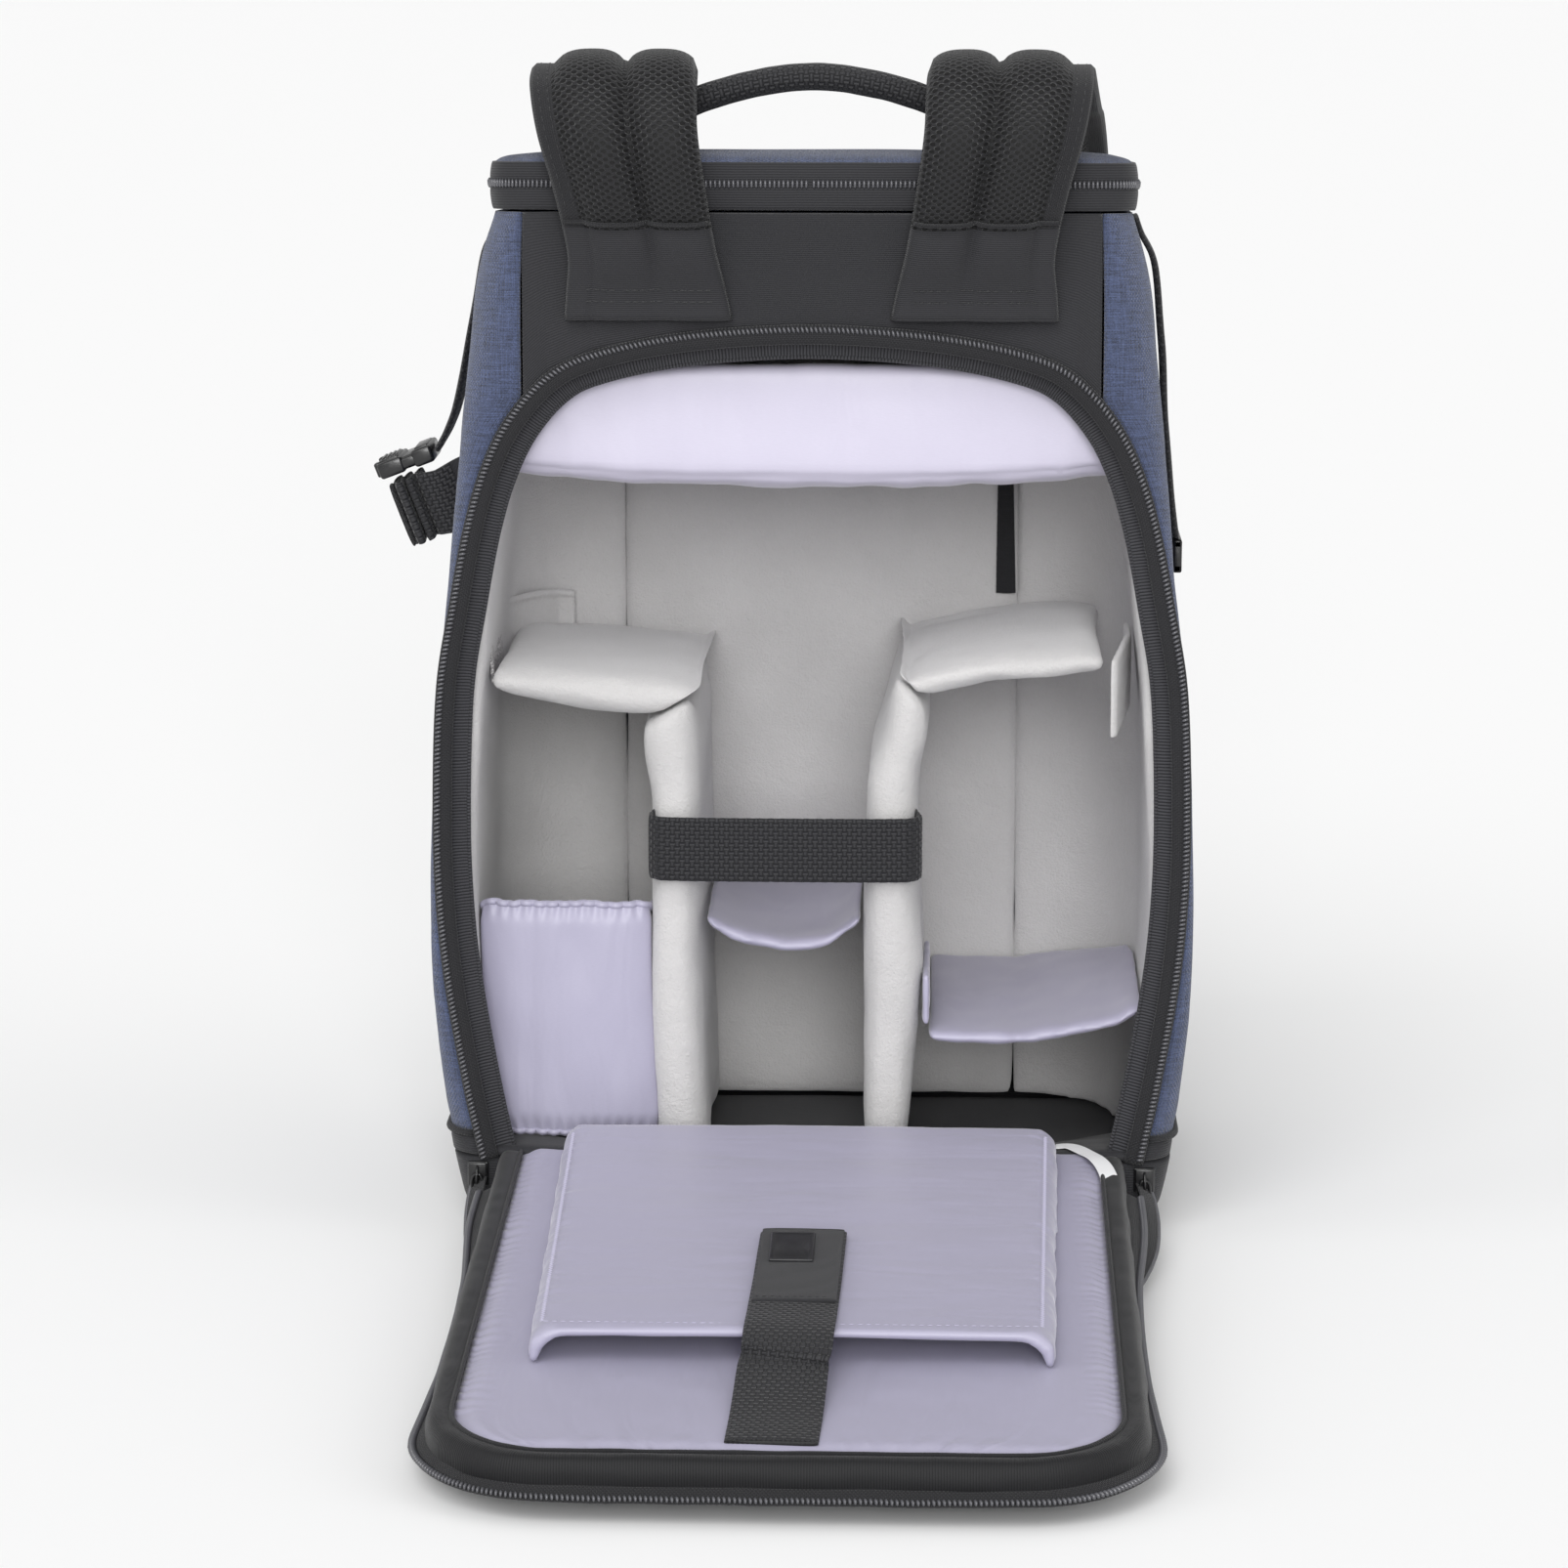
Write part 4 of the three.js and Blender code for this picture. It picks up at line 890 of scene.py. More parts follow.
MAKERS = {
    "navy": navy_heather,
    "oxford": woven("black pack cloth", 0.75, *PACK, **DULL),
    "oxford object": woven("black pack cloth, solid", 0.75, *PACK, cloth=False, **DULL),
    # Twill, edging, webbing, binding tape and label are coloured by their weave's height: painted
    # shade between threads and ribs, painted highlight on their crowns.
    "twill": woven("black twill", 0.7, "ribs", {"Pitch": 0.95, "Unevenness": 0.3}, (0.85, 1.75),
                   0.16, **DULL),
    "edging": woven("black edging cloth", 0.6, "ribs", {"Pitch": 0.95, "Unevenness": 0.3},
                    (0.3, 0.75), 0.1, **DULL),
    # Ribbed facing: rib tops reach 3.3 times the black dye and grooves 0.45, painted highlight on the
    # ribs and painted shade between them.
    "ribbed": woven("black ribbed facing", 0.7, "ribs", {"Pitch": 1.25, "Unevenness": 0.5},
                    (0.45, 3.3), 0.28, **DULL),
    "spacer": woven("black spacer mesh", 0.6, *MESH, **DULL),
    "spacer object": woven("black spacer mesh, solid", 0.6, *MESH, cloth=False, **DULL),
    "webbing": woven("black webbing", 0.55, "weave", {"Across": 1.6, "Along": 1.9}, (0.42, 1.55),
                     0.5, **DULL),
    "tape": woven("black binding tape", 0.65, "weave", {"Across": 0.8, "Along": 0.65},
                  (0.5, 1.25), 0.2, **DULL),
    "label": woven("white woven label", 0.7, "weave", {"Across": 0.5, "Along": 0.5},
                   (0.8, 1.0), 0.1, dye=(0.88, 0.88, 0.89), sheen=0.2),
    "plastic": black_plastic, "coil": zip_coil, "badge": badge_rubber, "hook tape": hook_tape,
    "brushed": grey_brushed, "brushed sheet": lambda dye: grey_brushed(dye, cloth=True),
    "satin": lilac_satin, "satin sheet": lambda dye: lilac_satin(dye, cloth=True),
    "satin level": lambda dye: lilac_satin(dye, across=0.014, along=0.06),
    "pale satin": pale_satin,
    "black thread": lambda dye: thread("black thread", dye.black),
    "pale thread": lambda dye: thread("pale thread", scaled(dye.lilac, 1.4)),
}


class PackColours(bpy.types.PropertyGroup):
    navy: FloatVectorProperty(
        name="Side cloth", description="Dye of the heather sides, front and lid", subtype="COLOR",
        default=(0.033, 0.045, 0.092), min=0, max=1)
    heather_contrast: FloatProperty(
        name="Heather contrast", description="How far light and dark yarns differ",
        default=0.7, min=0, max=1, subtype="FACTOR")
    black: FloatVectorProperty(
        name="Black cloth", description="Dye of the base, yoke, straps and flap edge",
        subtype="COLOR", default=(0.0168, 0.0168, 0.0188), min=0, max=1)
    grey: FloatVectorProperty(
        name="Brushed lining", description="Dye of the brushed lining and dividers",
        subtype="COLOR", default=(0.575, 0.565, 0.563), min=0, max=1)
    lilac: FloatVectorProperty(
        name="Satin lining", description="Dye of the satin on the flap, pocket and low shelves",
        subtype="COLOR", default=(0.375, 0.36, 0.465), min=0, max=1)
    pale_lilac: FloatVectorProperty(
        name="Tray satin", description="Dye of the paler satin over the top tray",
        subtype="COLOR", default=(0.52, 0.495, 0.6), min=0, max=1)
    mesh_pitch: FloatProperty(
        name="Mesh pitch", description="Distance between the spacer mesh's holes, in millimetres",
        default=3.4, min=1, max=8)


class PackSizes(bpy.types.PropertyGroup):
    cloth_wall: FloatProperty(
        name="Shell wall", description="Thickness of the padded shell cloth, in millimetres",
        default=2.6, min=1, max=5)
    slump: FloatProperty(
        name="Slump", description="How far empty cloth bows in or out, in millimetres",
        default=2.2, min=0, max=6)
    piping: FloatProperty(
        name="Piping", description="Diameter of the cord in a piped seam, in millimetres",
        default=3.2, min=1, max=6)
    tooth_pitch: FloatProperty(
        name="Zip tooth pitch", description="Distance between zip teeth, in millimetres",
        default=1.7, min=1, max=4)
    strap_ribs: IntProperty(
        name="Strap steps", description="Rows of cloth along each shoulder strap",
        default=220, min=60, max=400)
    stitch: FloatProperty(
        name="Stitch", description="Length of one stitch, in millimetres",
        default=2.6, min=1, max=6)


class StageSettings(bpy.types.PropertyGroup):
    turn: FloatProperty(
        name="Camera turn", description="Turn of the camera round the bag", subtype="ANGLE",
        default=math.radians(2.0))
    lift: FloatProperty(
        name="Camera lift", description="Height of the camera above the bag's middle",
        subtype="ANGLE", default=math.radians(12.0))
    away: FloatProperty(
        name="Camera distance", description="From the point it looks at", unit="LENGTH",
        default=1.8, min=0.5)
    aim: FloatVectorProperty(
        name="Camera aim", description="Point the camera looks at", subtype="TRANSLATION",
        unit="LENGTH", default=(-0.0103, -0.095, 0.18))
    lens: FloatProperty(
        name="Lens", description="Focal length in millimetres on a 36 mm sensor",
        default=108.13, min=10)
    air: FloatProperty(
        name="Air light", description="Brightness of the white studio round the bag",
        default=0.6, min=0)
    key_power: FloatProperty(
        name="Upper light", description="Strength of the wide lamp above the camera",
        default=1.25, min=0)
    front_power: FloatProperty(
        name="Front light", description="Strength of the lamp beside the camera",
        default=1.65, min=0)
    side_power: FloatProperty(
        name="Side lights", description="Strength of the lamps at both sides",
        default=0.35, min=0)
    backdrop: FloatVectorProperty(
        name="Backdrop", description="Colour of the floor and the air round it",
        subtype="COLOR", default=(0.89, 0.89, 0.89), min=0, max=1)


def sizes_now():
    return bpy.context.scene.pack_sizes


def seam_dip(u, v, width=0.04):
    """How far cloth sinks next to its seams."""
    return 1 - ease(min(u, 1 - u, v, 1 - v), 0, width)


def piping_along(points, ups, radius, bm=None):
    """A cord covered in cloth along a seam."""

    def section(u, v):
        a = 2 * math.pi * u
        wobble = 1 + 0.05 * lumps(v * 90, math.cos(a), math.sin(a), 1.0)
        return radius * math.cos(a) * wobble, radius * math.sin(a) * wobble

    return tube(points, section, ups, bm=bm)


def side_bounds(z):
    """Where a side panel starts and ends on the outline, from the rear's middle."""
    total = body_length(z)
    across = zip_across(z) if z < 355 else 0
    across = max(across, YOKE_HALF if z > 326 else 0)
    half, corner = half_at(z), corner_at(z)
    straight = half - corner
    if across > straight:
        share = clamp((across - straight) / corner)
        start = straight + corner * math.asin(share)
    else:
        start = across
    return start, total - FRONT_HALF - 0.6


def dress_side(side):
    sizes = sizes_now()
    low, high = BASE_HEIGHT + 0.4, ROOF

    def place(u, v):
        z = mix(low, high, v)
        start, end = side_bounds(z)
        distance = mix(start + 0.5, end, u)
        swell = sizes.slump * (0.35 * lumps(u * 190, z, side * 40, 75) - 0.1)
        swell += 0.9 * lumps(u * 190 + 37, z * 1.6, side * 9, 26) * (0.3 + 0.7 * ease(u, 0.5, 1))
        drag = 1.1 * math.exp(-((u - 0.42) / 0.12) ** 2) * ease(v, 0.6, 0.95)
        swell -= drag * (0.5 + 0.5 * math.sin(z / 4.3 + 2 * lumps(z, u * 60, 0, 40)))
        edge = seam_dip(u, v, width=0.035)
        return on_body(z, side, distance, lift=(swell - 0.4) * (1 - edge) - 0.9 * edge)

    bm = cloth_grid(76, 128, place, size=(225, high - low))
    thicken(bm, sizes.cloth_wall)
    word = WORD[side]
    return finish_mesh(bm, f"side_cloth_{word}", "navy",
                       [f"side_panel_{word}"])


def dress_front():
    sizes = sizes_now()

    def place(u, v):
        z = mix(BASE_HEIGHT + 0.4, ROOF, v)
        x = mix(-FRONT_HALF, FRONT_HALF, u)
        side = -1 if x < 0 else 1
        swell = sizes.slump * 0.6 * lumps(x, z, 7, 85) + 0.8 * lumps(x, z * 1.4, 3, 28)
        edge = seam_dip(u, v, width=0.035)
        return on_body(z, side, body_length(z) - abs(x), lift=swell * (1 - edge) - 0.9 * edge)

    bm = cloth_grid(66, 112, place, size=(2 * FRONT_HALF, 357))
    thicken(bm, sizes.cloth_wall)
    return finish_mesh(bm, "front_cloth", "navy", ["front_panel"])


def dress_front_seams():
    """Piped seams between the front and the sides, and round the top of the base."""
    sizes = sizes_now()
    radius = sizes.piping / 2
    bm = cloth_mesh()
    for side in (-1, 1):
        line = []
        for k in range(120):
            z = mix(BASE_HEIGHT + 1, 396.5, k / 119)
            line.append(on_body(z, side, body_length(z) - FRONT_HALF - 0.3, lift=0.1))
        piping_along(line, Vector((0, 1, 0)), radius, bm)
    line = []
    for k in range(161):
        share = k / 160
        side = -1 if share < 0.5 else 1
        z = BASE_HEIGHT + 0.15
        start, _ = side_bounds(z)
        span = body_length(z) - start - 1
        distance = start + 1 + span * (2 * share if side < 0 else 2 - 2 * share)
        line.append(on_body(z, side, distance, lift=0.1))
    piping_along(respaced(line, 220), UP, radius * 0.8, bm)
    return finish_mesh(bm, "body_piping", "tape")


def dress_base():
    """The black boot: bottom, rounded edge and the wall up to the piped seam."""
    sizes = sizes_now()

    def place(u, v):
        side = -1 if u < 0.5 else 1
        along = 2 * u if side < 0 else 2 - 2 * u
        z = mix(0.0, BASE_HEIGHT - 0.3, v)
        sill = 30.0
        start = 0.0
        if z > sill:
            start = side_bounds(z)[0] + 0.6
        distance = mix(start, body_length(z), along)
        swell = 0.5 * lumps(u * 700, z, 11, 40) * ease(z, 6, 20)
        edge = 0.5 * (1 - ease(BASE_HEIGHT - z, 0, 4))
        return on_body(z, side, distance, lift=(swell - 0.2 - edge) * ease(z, 2, 10))

    bm = cloth_grid(220, 24, place, size=(760, 42))
    bmesh.ops.remove_doubles(bm, verts=bm.verts, dist=0.05)
    low = [e for e in bm.edges if e.is_boundary and all(v.co.z < 0.5 for v in e.verts)]
    bmesh.ops.holes_fill(bm, edges=low, sides=0)
    thicken(bm, sizes.cloth_wall)
    return finish_mesh(bm, "base_cloth", "oxford", ["base_panel"])


def dress_yoke():
    """Padded panel that carries the straps, above the opening."""
    sizes = sizes_now()

    def place(u, v):
        x = mix(-YOKE_HALF + 0.4, YOKE_HALF - 0.4, u)
        low = 326.0
        for a, b in zip(ZIP_LINE, ZIP_LINE[1:]):
            if b[1] <= abs(x) <= a[1]:
                low = max(low, mix(b[0], a[0], (abs(x) - b[1]) / (a[1] - b[1])))
        z = mix(low + 0.4, ROOF, v)
        side = -1 if x < 0 else 1
        swell = 1.1 * lumps(x, z, 5, 55) + 0.5 * lumps(x * 1.5, z, 8, 20)
        between = math.exp(-(x / 26) ** 2)
        swell -= 1.4 * between * math.sin(clamp(v) * math.pi) ** 2
        edge = seam_dip(u, v)
        return on_body(z, side, abs(x), lift=swell * (1 - edge) - 0.5 * edge)

    bm = cloth_grid(120, 36, place, size=(2 * YOKE_HALF, 62))
    thicken(bm, sizes.cloth_wall)
    return finish_mesh(bm, "yoke_cloth", "oxford", ["rear_yoke"])


def lid_ring_point(u, z, lift):
    """Once round the top edge: u 0 to 1 from the rear's middle to the right."""
    side = 1 if u < 0.5 else -1
    along = (2 * u if u < 0.5 else 2 - 2 * u) * body_length(BODY_HEIGHT)
    return on_body(z, side, along, lift=lift, outline_z=BODY_HEIGHT)


def dress_lid_band():
    """Zip tape round the lid: two ribbed tapes with a coil between them."""
    low, high = 398.5, 416.3

    def place(u, v):
        z = mix(low, high, v)
        bulge = 1.2 * math.sin(v * math.pi) ** 0.6
        step = -0.5 * math.exp(-((v - 0.53) / 0.09) ** 2)
        wave = 0.4 * lumps(u * 640, z, 2, 34) * ease(min(u, 1 - u), 0, 0.03)
        return lid_ring_point(u, z, 0.1 + bulge + step + wave)

    bm = cloth_grid(260, 18, place, size=(700, high - low), closed=True)
    thicken(bm, 2.0)
    return finish_mesh(bm, "lid_band_cloth", "twill", ["lid_zip_band"])


def dress_lid():
    """The domed top: a square of cloth drawn out to the rim on all sides."""
    rise = curve_of([(0, 0), (0.02, 1.9), (0.06, 3.1), (0.16, 3.9), (0.4, 4.3), (1, 4.4)], 1)
    middle = Vector((0, -10, 0))
    ring = [lid_ring_point(k / 720, 416.0, -0.3) - middle for k in range(720)]
    rows = sorted((math.atan2(p.y, p.x), p.xy.length, p.z) for p in ring)
    reach, rim_z = curve_of(rows, 1), curve_of(rows, 2)
    level = sum(row[2] for row in rows) / len(rows)

    def place(u, v):
        a, b = (math.copysign(1 - (1 - abs(2 * s - 1)) ** 1.3, 2 * s - 1) for s in (u, v))
        share = max(abs(a), abs(b))
        turn = math.atan2(b * 95, a * 142)
        at = middle + Vector((math.cos(turn), math.sin(turn), 0)) * reach(turn) * share
        fold = 0.5 * lumps(at.x, at.y * 1.3, 4, 45) * ease(1 - share, 0.05, 0.3)
        height = mix(level, rim_z(turn), share) + rise(1 - share) + fold - 0.4
        return Vector((at.x, at.y, height))

    bm = cloth_grid(120, 84, place, size=(290, 200))
    thicken(bm, 1.6, facing=(0, 0, 1))
    return finish_mesh(bm, "lid_cloth", "navy", ["top_lid"])


def coil_row(points, ups, tooth, lean=0.0, onto=None):
    """Teeth of a coil zip along a line: across, along and out half sizes of one tooth."""
    bm = bmesh.new()
    run = lengths(points)
    pitch = bpy.context.scene.pack_sizes.tooth_pitch
    for k in range(int(run[-1] / pitch)):
        at = walk(points, run, (k + 0.5) * pitch)
        forward = (walk(points, run, (k + 0.5) * pitch + 0.6) - at).normalized()
        up = ups((k + 0.5) * pitch / run[-1]) if callable(ups) else ups
        side = forward.cross(up).normalized()
        turn = Matrix((side, forward, side.cross(forward))).transposed().to_4x4()
        turn.translation = at
        size = Matrix.Diagonal((tooth[0], tooth[1], tooth[2], 1))
        bmesh.ops.create_icosphere(bm, subdivisions=1, radius=1,
                                   matrix=turn @ Matrix.Rotation(lean, 4, "Z") @ size)
    if onto is not None:
        for face in bm.faces:
            face.material_index = 1
        join_into(onto, bm)
    return bm


def dress_lid_zip():
    """The closed coil in the lid's band."""
    line = [lid_ring_point(k / 360, 408.2, 1.5) for k in range(361)]
    bm = coil_row(line, UP, (0.75, 0.6, 1.9))
    return finish_mesh(bm, "lid_zip_coil", "coil")


def beside_zip(share, inward, y):
    """A point beside the zip line: share along it from left to right, inward from its edge."""
    at = walk(ZIP_POINTS, ZIP_RUN, share * ZIP_RUN[-1])
    ahead = (walk(ZIP_POINTS, ZIP_RUN, share * ZIP_RUN[-1] + 1)
             - walk(ZIP_POINTS, ZIP_RUN, share * ZIP_RUN[-1] - 1)).normalized()
    place = at + Vector((ahead.z, 0, -ahead.x)) * inward
    return Vector((place.x, y, max(place.z, 30.0)))


def dress_gusset():
    """Ribbed facing that turns from the zip into the lining."""
    rows = [(0, 0.4, -94.6), (0.12, 2.2, -93.0), (0.35, 5.5, -90.2), (0.7, 9.8, -88.4),
            (0.9, 12.0, -87.6), (1, 12.5, -86.4)]
    inward, depth = curve_of(rows, 1), curve_of(rows, 2)

    def place(u, v):
        wave = 0.7 * lumps(v * 900, u * 8, 3, 42) * math.sin(u * math.pi)
        fold = 0.35 * lumps(v * 900, 0, 9, 9) * math.sin(u * math.pi)
        return beside_zip(v, inward(u) + 0.25 * wave, depth(u) + wave + fold)

    bm = cloth_grid(12, 360, place, size=(14, ZIP_RUN[-1]))
    thicken(bm, 1.4, facing=(0, -1, 0))
    edge = [beside_zip(k / 220, 12.1, -87.2) for k in range(221)]
    piping_along(edge, Vector((0, -1, 0)), 0.9, bm)
    return finish_mesh(bm, "opening_facing", "ribbed", ["opening_gusset"])


def dress_opening_zip():
    """Half of the open zip: tape and its coil, round the opening."""
    rows = [(0, -1.0, -95.6), (0.2, 0.4, -96.3), (0.5, 2.6, -96.9), (0.8, 5, -96.6),
            (1, 6.6, -95.7)]
    inward, depth = curve_of(rows, 1), curve_of(rows, 2)

    def place(u, v):
        wave = 0.25 * lumps(v * 900, 2, u, 26)
        return beside_zip(v, inward(u), depth(u) + wave)

    bm = cloth_grid(8, 360, place, size=(8, ZIP_RUN[-1]))
    thicken(bm, 0.7, facing=(0, -1, 0))
    line = [beside_zip(k / 800, 0.9, -96.9) for k in range(801)]
    coil_row(line, Vector((0, -1, 0)), (1.55, 0.6, 0.9), 0.35, onto=bm)
    return finish_mesh(bm, "opening_zip_coil", ["tape", "coil"],
                       ["opening_zip"])


def box_at(bm, low, high, bevel=0.5, turn=None, material=0):
    """A box between two corners with rounded edges, turned about its own middle."""
    size = [b - a for a, b in zip(low, high)]
    middle = Vector([(a + b) / 2 for a, b in zip(low, high)])
    move = Matrix.Translation(middle) @ (turn or Matrix.Identity(4))
    made = bmesh.ops.create_cube(bm, size=1, matrix=move @ Matrix.Diagonal((*size, 1)))
    verts = made["verts"]
    edges = {e for v in verts for e in v.link_edges}
    faces = {f for v in verts for f in v.link_faces}
    for face in faces:
        face.material_index = material
    if bevel:
        bmesh.ops.bevel(bm, geom=list(edges), offset=bevel, offset_type="OFFSET", segments=3,
                        profile=0.5, affect="EDGES", material=-1, clamp_overlap=True)
    return bm


def dress_sliders():
    """Zip sliders parked at both ends of the sill, each with a wire puller."""
    for word in ("left", "right"):
        low, high = box_of(f"zip_slider_{word}")
        middle = (low + high) / 2
        bm = bmesh.new()
        box_at(bm, (low.x + 0.4, high.y - 1.5, low.z + 0.5), (high.x - 0.4, high.y, high.z - 0.5), 0.6)
        box_at(bm, (low.x + 0.9, high.y - 3.5, low.z + 1.4), (high.x - 0.9, high.y - 2.3,
                                                             high.z - 0.4), 0.55)
        box_at(bm, (middle.x - 1.2, high.y - 3.2, middle.z + 1), (middle.x + 1.2, high.y - 0.6,
                                                                 high.z - 1.6), 0.4)
        arch = []
        for k in range(13):
            a = math.pi * k / 12
            arch.append(Vector((middle.x, high.y - 3.2 - 2.6 * math.sin(a),
                                middle.z - 3.4 * math.cos(a))))
        wire = tube(arch, round_section(0.8, 0.6), Vector((1, 0, 0)))
        join_into(bm, wire)
        loop = []
        for k in range(25):
            a = 2 * math.pi * k / 24
            loop.append(Vector((middle.x + 2.1 * math.sin(a) * (1 + 0.15 * math.cos(a)),
                                high.y - 5.0, middle.z - 3.4 + 4.4 * math.cos(a))))
        pull = tube(loop, round_section(0.6, 0.6), Vector((0, 1, 0)))
        join_into(bm, pull)
        finish_mesh(bm, f"zip_slider_{word}_cast", "plastic",
                    [f"zip_slider_{word}"])


def dress_sill():
    def place(u, v):
        x = mix(-119.6, 119.6, u)
        rows = [(0, -91.2, 16), (0.3, -91.4, 24), (0.55, -90.2, 29.2), (0.85, -86.4, 29.2),
                (1, -85.2, 27.8)]
        y, z = curve_of(rows, 1)(v), curve_of(rows, 2)(v)
        return Vector((x, y + 0.5 * lumps(x, z, 5, 30), z - 0.3 + 0.4 * lumps(x, y, 2, 24)))

    bm = cloth_grid(140, 14, place, size=(240, 22))
    thicken(bm, 2.0, facing=(0, -1, 1))
    return finish_mesh(bm, "hinge_cloth", "ribbed", ["hinge_sill"])


def dress_floor():
    """Black lining under the dividers."""
    bm = eased(cushion_from("floor_liner", 5.0), 3)
    pushed(bm, lambda co, n: (0.5 * lumps(co.x, co.y, 4, 34) - 0.3) * max(n.z, 0))
    return finish_mesh(bm, "floor_cloth", "oxford object", ["floor_liner"])


def soft_wall(node, name, hollow, widen=1.0):
    """A padded wall: its own solid, rounded, with the uneven face of quilted foam."""
    bm = eased(cushion_from(node, 4.0), 4)
    shifted(bm, lambda co: Vector((co.x * (widen - 1), 0, 0)))

    def swell(co, normal):
        wide = hollow * lumps(co.y * 1.1, co.z, co.x * 0.2, 60)
        fine = 0.35 * lumps(co.y, co.z, co.x + 7, 17)
        return wide + fine - 0.5 * hollow

    pushed(bm, swell)
    return finish_mesh(bm, name, "brushed", [node])


def dress_liners():
    soft_wall("side_liner_left", "left_wall_padding", 0.9)
    soft_wall("side_liner_right", "right_wall_padding", 0.9)
    soft_wall("back_liner", "back_wall_padding", 0.7, widen=1.045)


def dress_elastic():
    low, high = box_of("elastic_strip")

    def place(u, v):
        z = mix(low.z, high.z, v)
        narrow = 1 - 0.25 * v
        x = mix(low.x, high.x, 0.5 + (u - 0.5) * narrow) - 0.6 * v
        pucker = 0.25 * math.sin(z * 2.1) * math.sin(u * math.pi)
        return Vector((x, low.y + 0.3 + pucker, z))

    bm = cloth_grid(8, 70, place, size=(8, high.z - low.z))
    thicken(bm, 0.9, facing=(0, -1, 0))
    return finish_mesh(bm, "elastic_tape", "tape", ["elastic_strip"])


def seam_groove(bm, lines, width=2.2, depth=0.9):
    """Presses sewn lines into a padded mesh: lines are (start, end) pairs of points."""

    def sink(co, normal):
        deepest = 0.0
        for a, b in lines:
            way = b - a
            t = clamp((co - a).dot(way) / way.length_squared)
            near = (co - a - way * t).length
            deepest = max(deepest, depth * math.exp(-((near / width) ** 2)))
        return -deepest

    return pushed(bm, sink)


MITRES = {"left": (Vector((-63, -85, 201)), Vector((-43, -85, 214.5))),
          "right": (Vector((46, -85, 206)), Vector((31, -85, 223)))}


def against_back(co):
    return ease(co.y, 30, 44)


def dress_uprights():
    """Two tall dividers: foam boards in brushed cloth, their tops mitred to the shelves."""
    for word, top in (("left", 201), ("right", 210)):
        bm = puffed(cushion_from(f"divider_{word}", 4.0), 1.6, shrink=1.0, pinned=against_back)
        eased(bm, 3)
        (low, _, foot), (high, _, head) = MITRES[word]

        def meet(co):
            cut = mix(foot, head, clamp((co.x - low) / (high - low))) + 0.6
            front = ease(-co.y, 40, 70)
            rise = (cut - top) * ease(co.z, top - 18, top) * mix(0.35, 1, front)
            return Vector((0, -2.2 * front * ease(co.z, top - 30, top), rise))

        shifted(bm, meet)
        finer(bm)
        seam_groove(bm, [MITRES[word]], 1.6, 1.5)
        pushed(bm, lambda co, n: 0.6 * lumps(co.y, co.z, co.x, 38) + 0.3 * lumps(
            co.y, co.z, co.x, 11))
        piece = finish_mesh(bm, f"upright_{word}", "brushed",
                            [f"divider_{word}"])


def dress_shelves():
    """The two upper shelves over the uprights, soft and a little slumped."""
    for word, end, reach in (("left", (-72, -48), 3.4), ("right", (-52, -36), -2.2)):
        bm = puffed(cushion_from(f"shelf_{word}", 3.6), 1.6, shrink=0.8, pinned=against_back)
        eased(bm, 3)
        side = -1 if word == "right" else 1
        (low, _, foot), (high, _, head) = MITRES[word]

        def meet(co):
            x = co.x + reach * ease(side * co.x, *end)
            cut = mix(foot, head, clamp((x - low) / (high - low)))
            lift = max(cut - co.z, 0) if (x - low) / (high - low) > 0 else 0
            return Vector((x - co.x, 0, lift))

        shifted(bm, meet)
        finer(bm)
        seam_groove(bm, [MITRES[word]], 1.6, 1.5)
        pushed(bm, lambda co, n: 0.7 * lumps(co.x, co.y, co.z, 42) + 0.35 * lumps(
            co.x, co.y, co.z, 13))
        piece = finish_mesh(bm, f"shelf_{word}_cushion", "brushed",
                            [f"shelf_{word}"])


def dress_low_shelves():
    """Two lower shelves in satin."""
    for node, name in (("shelf_center", "center_shelf_cushion"), ("shelf_low", "low_shelf_cushion")):
        bm = eased(cushion_from(node, 2.3), 9)
        pushed(bm, lambda co, n: 0.35 * lumps(co.x, co.y, co.z, 16) + 0.5 * lumps(
            co.x * 2.4, co.y * 0.5, co.z, 20) - 0.2)
        piece = finish_mesh(bm, name, "satin", [node])


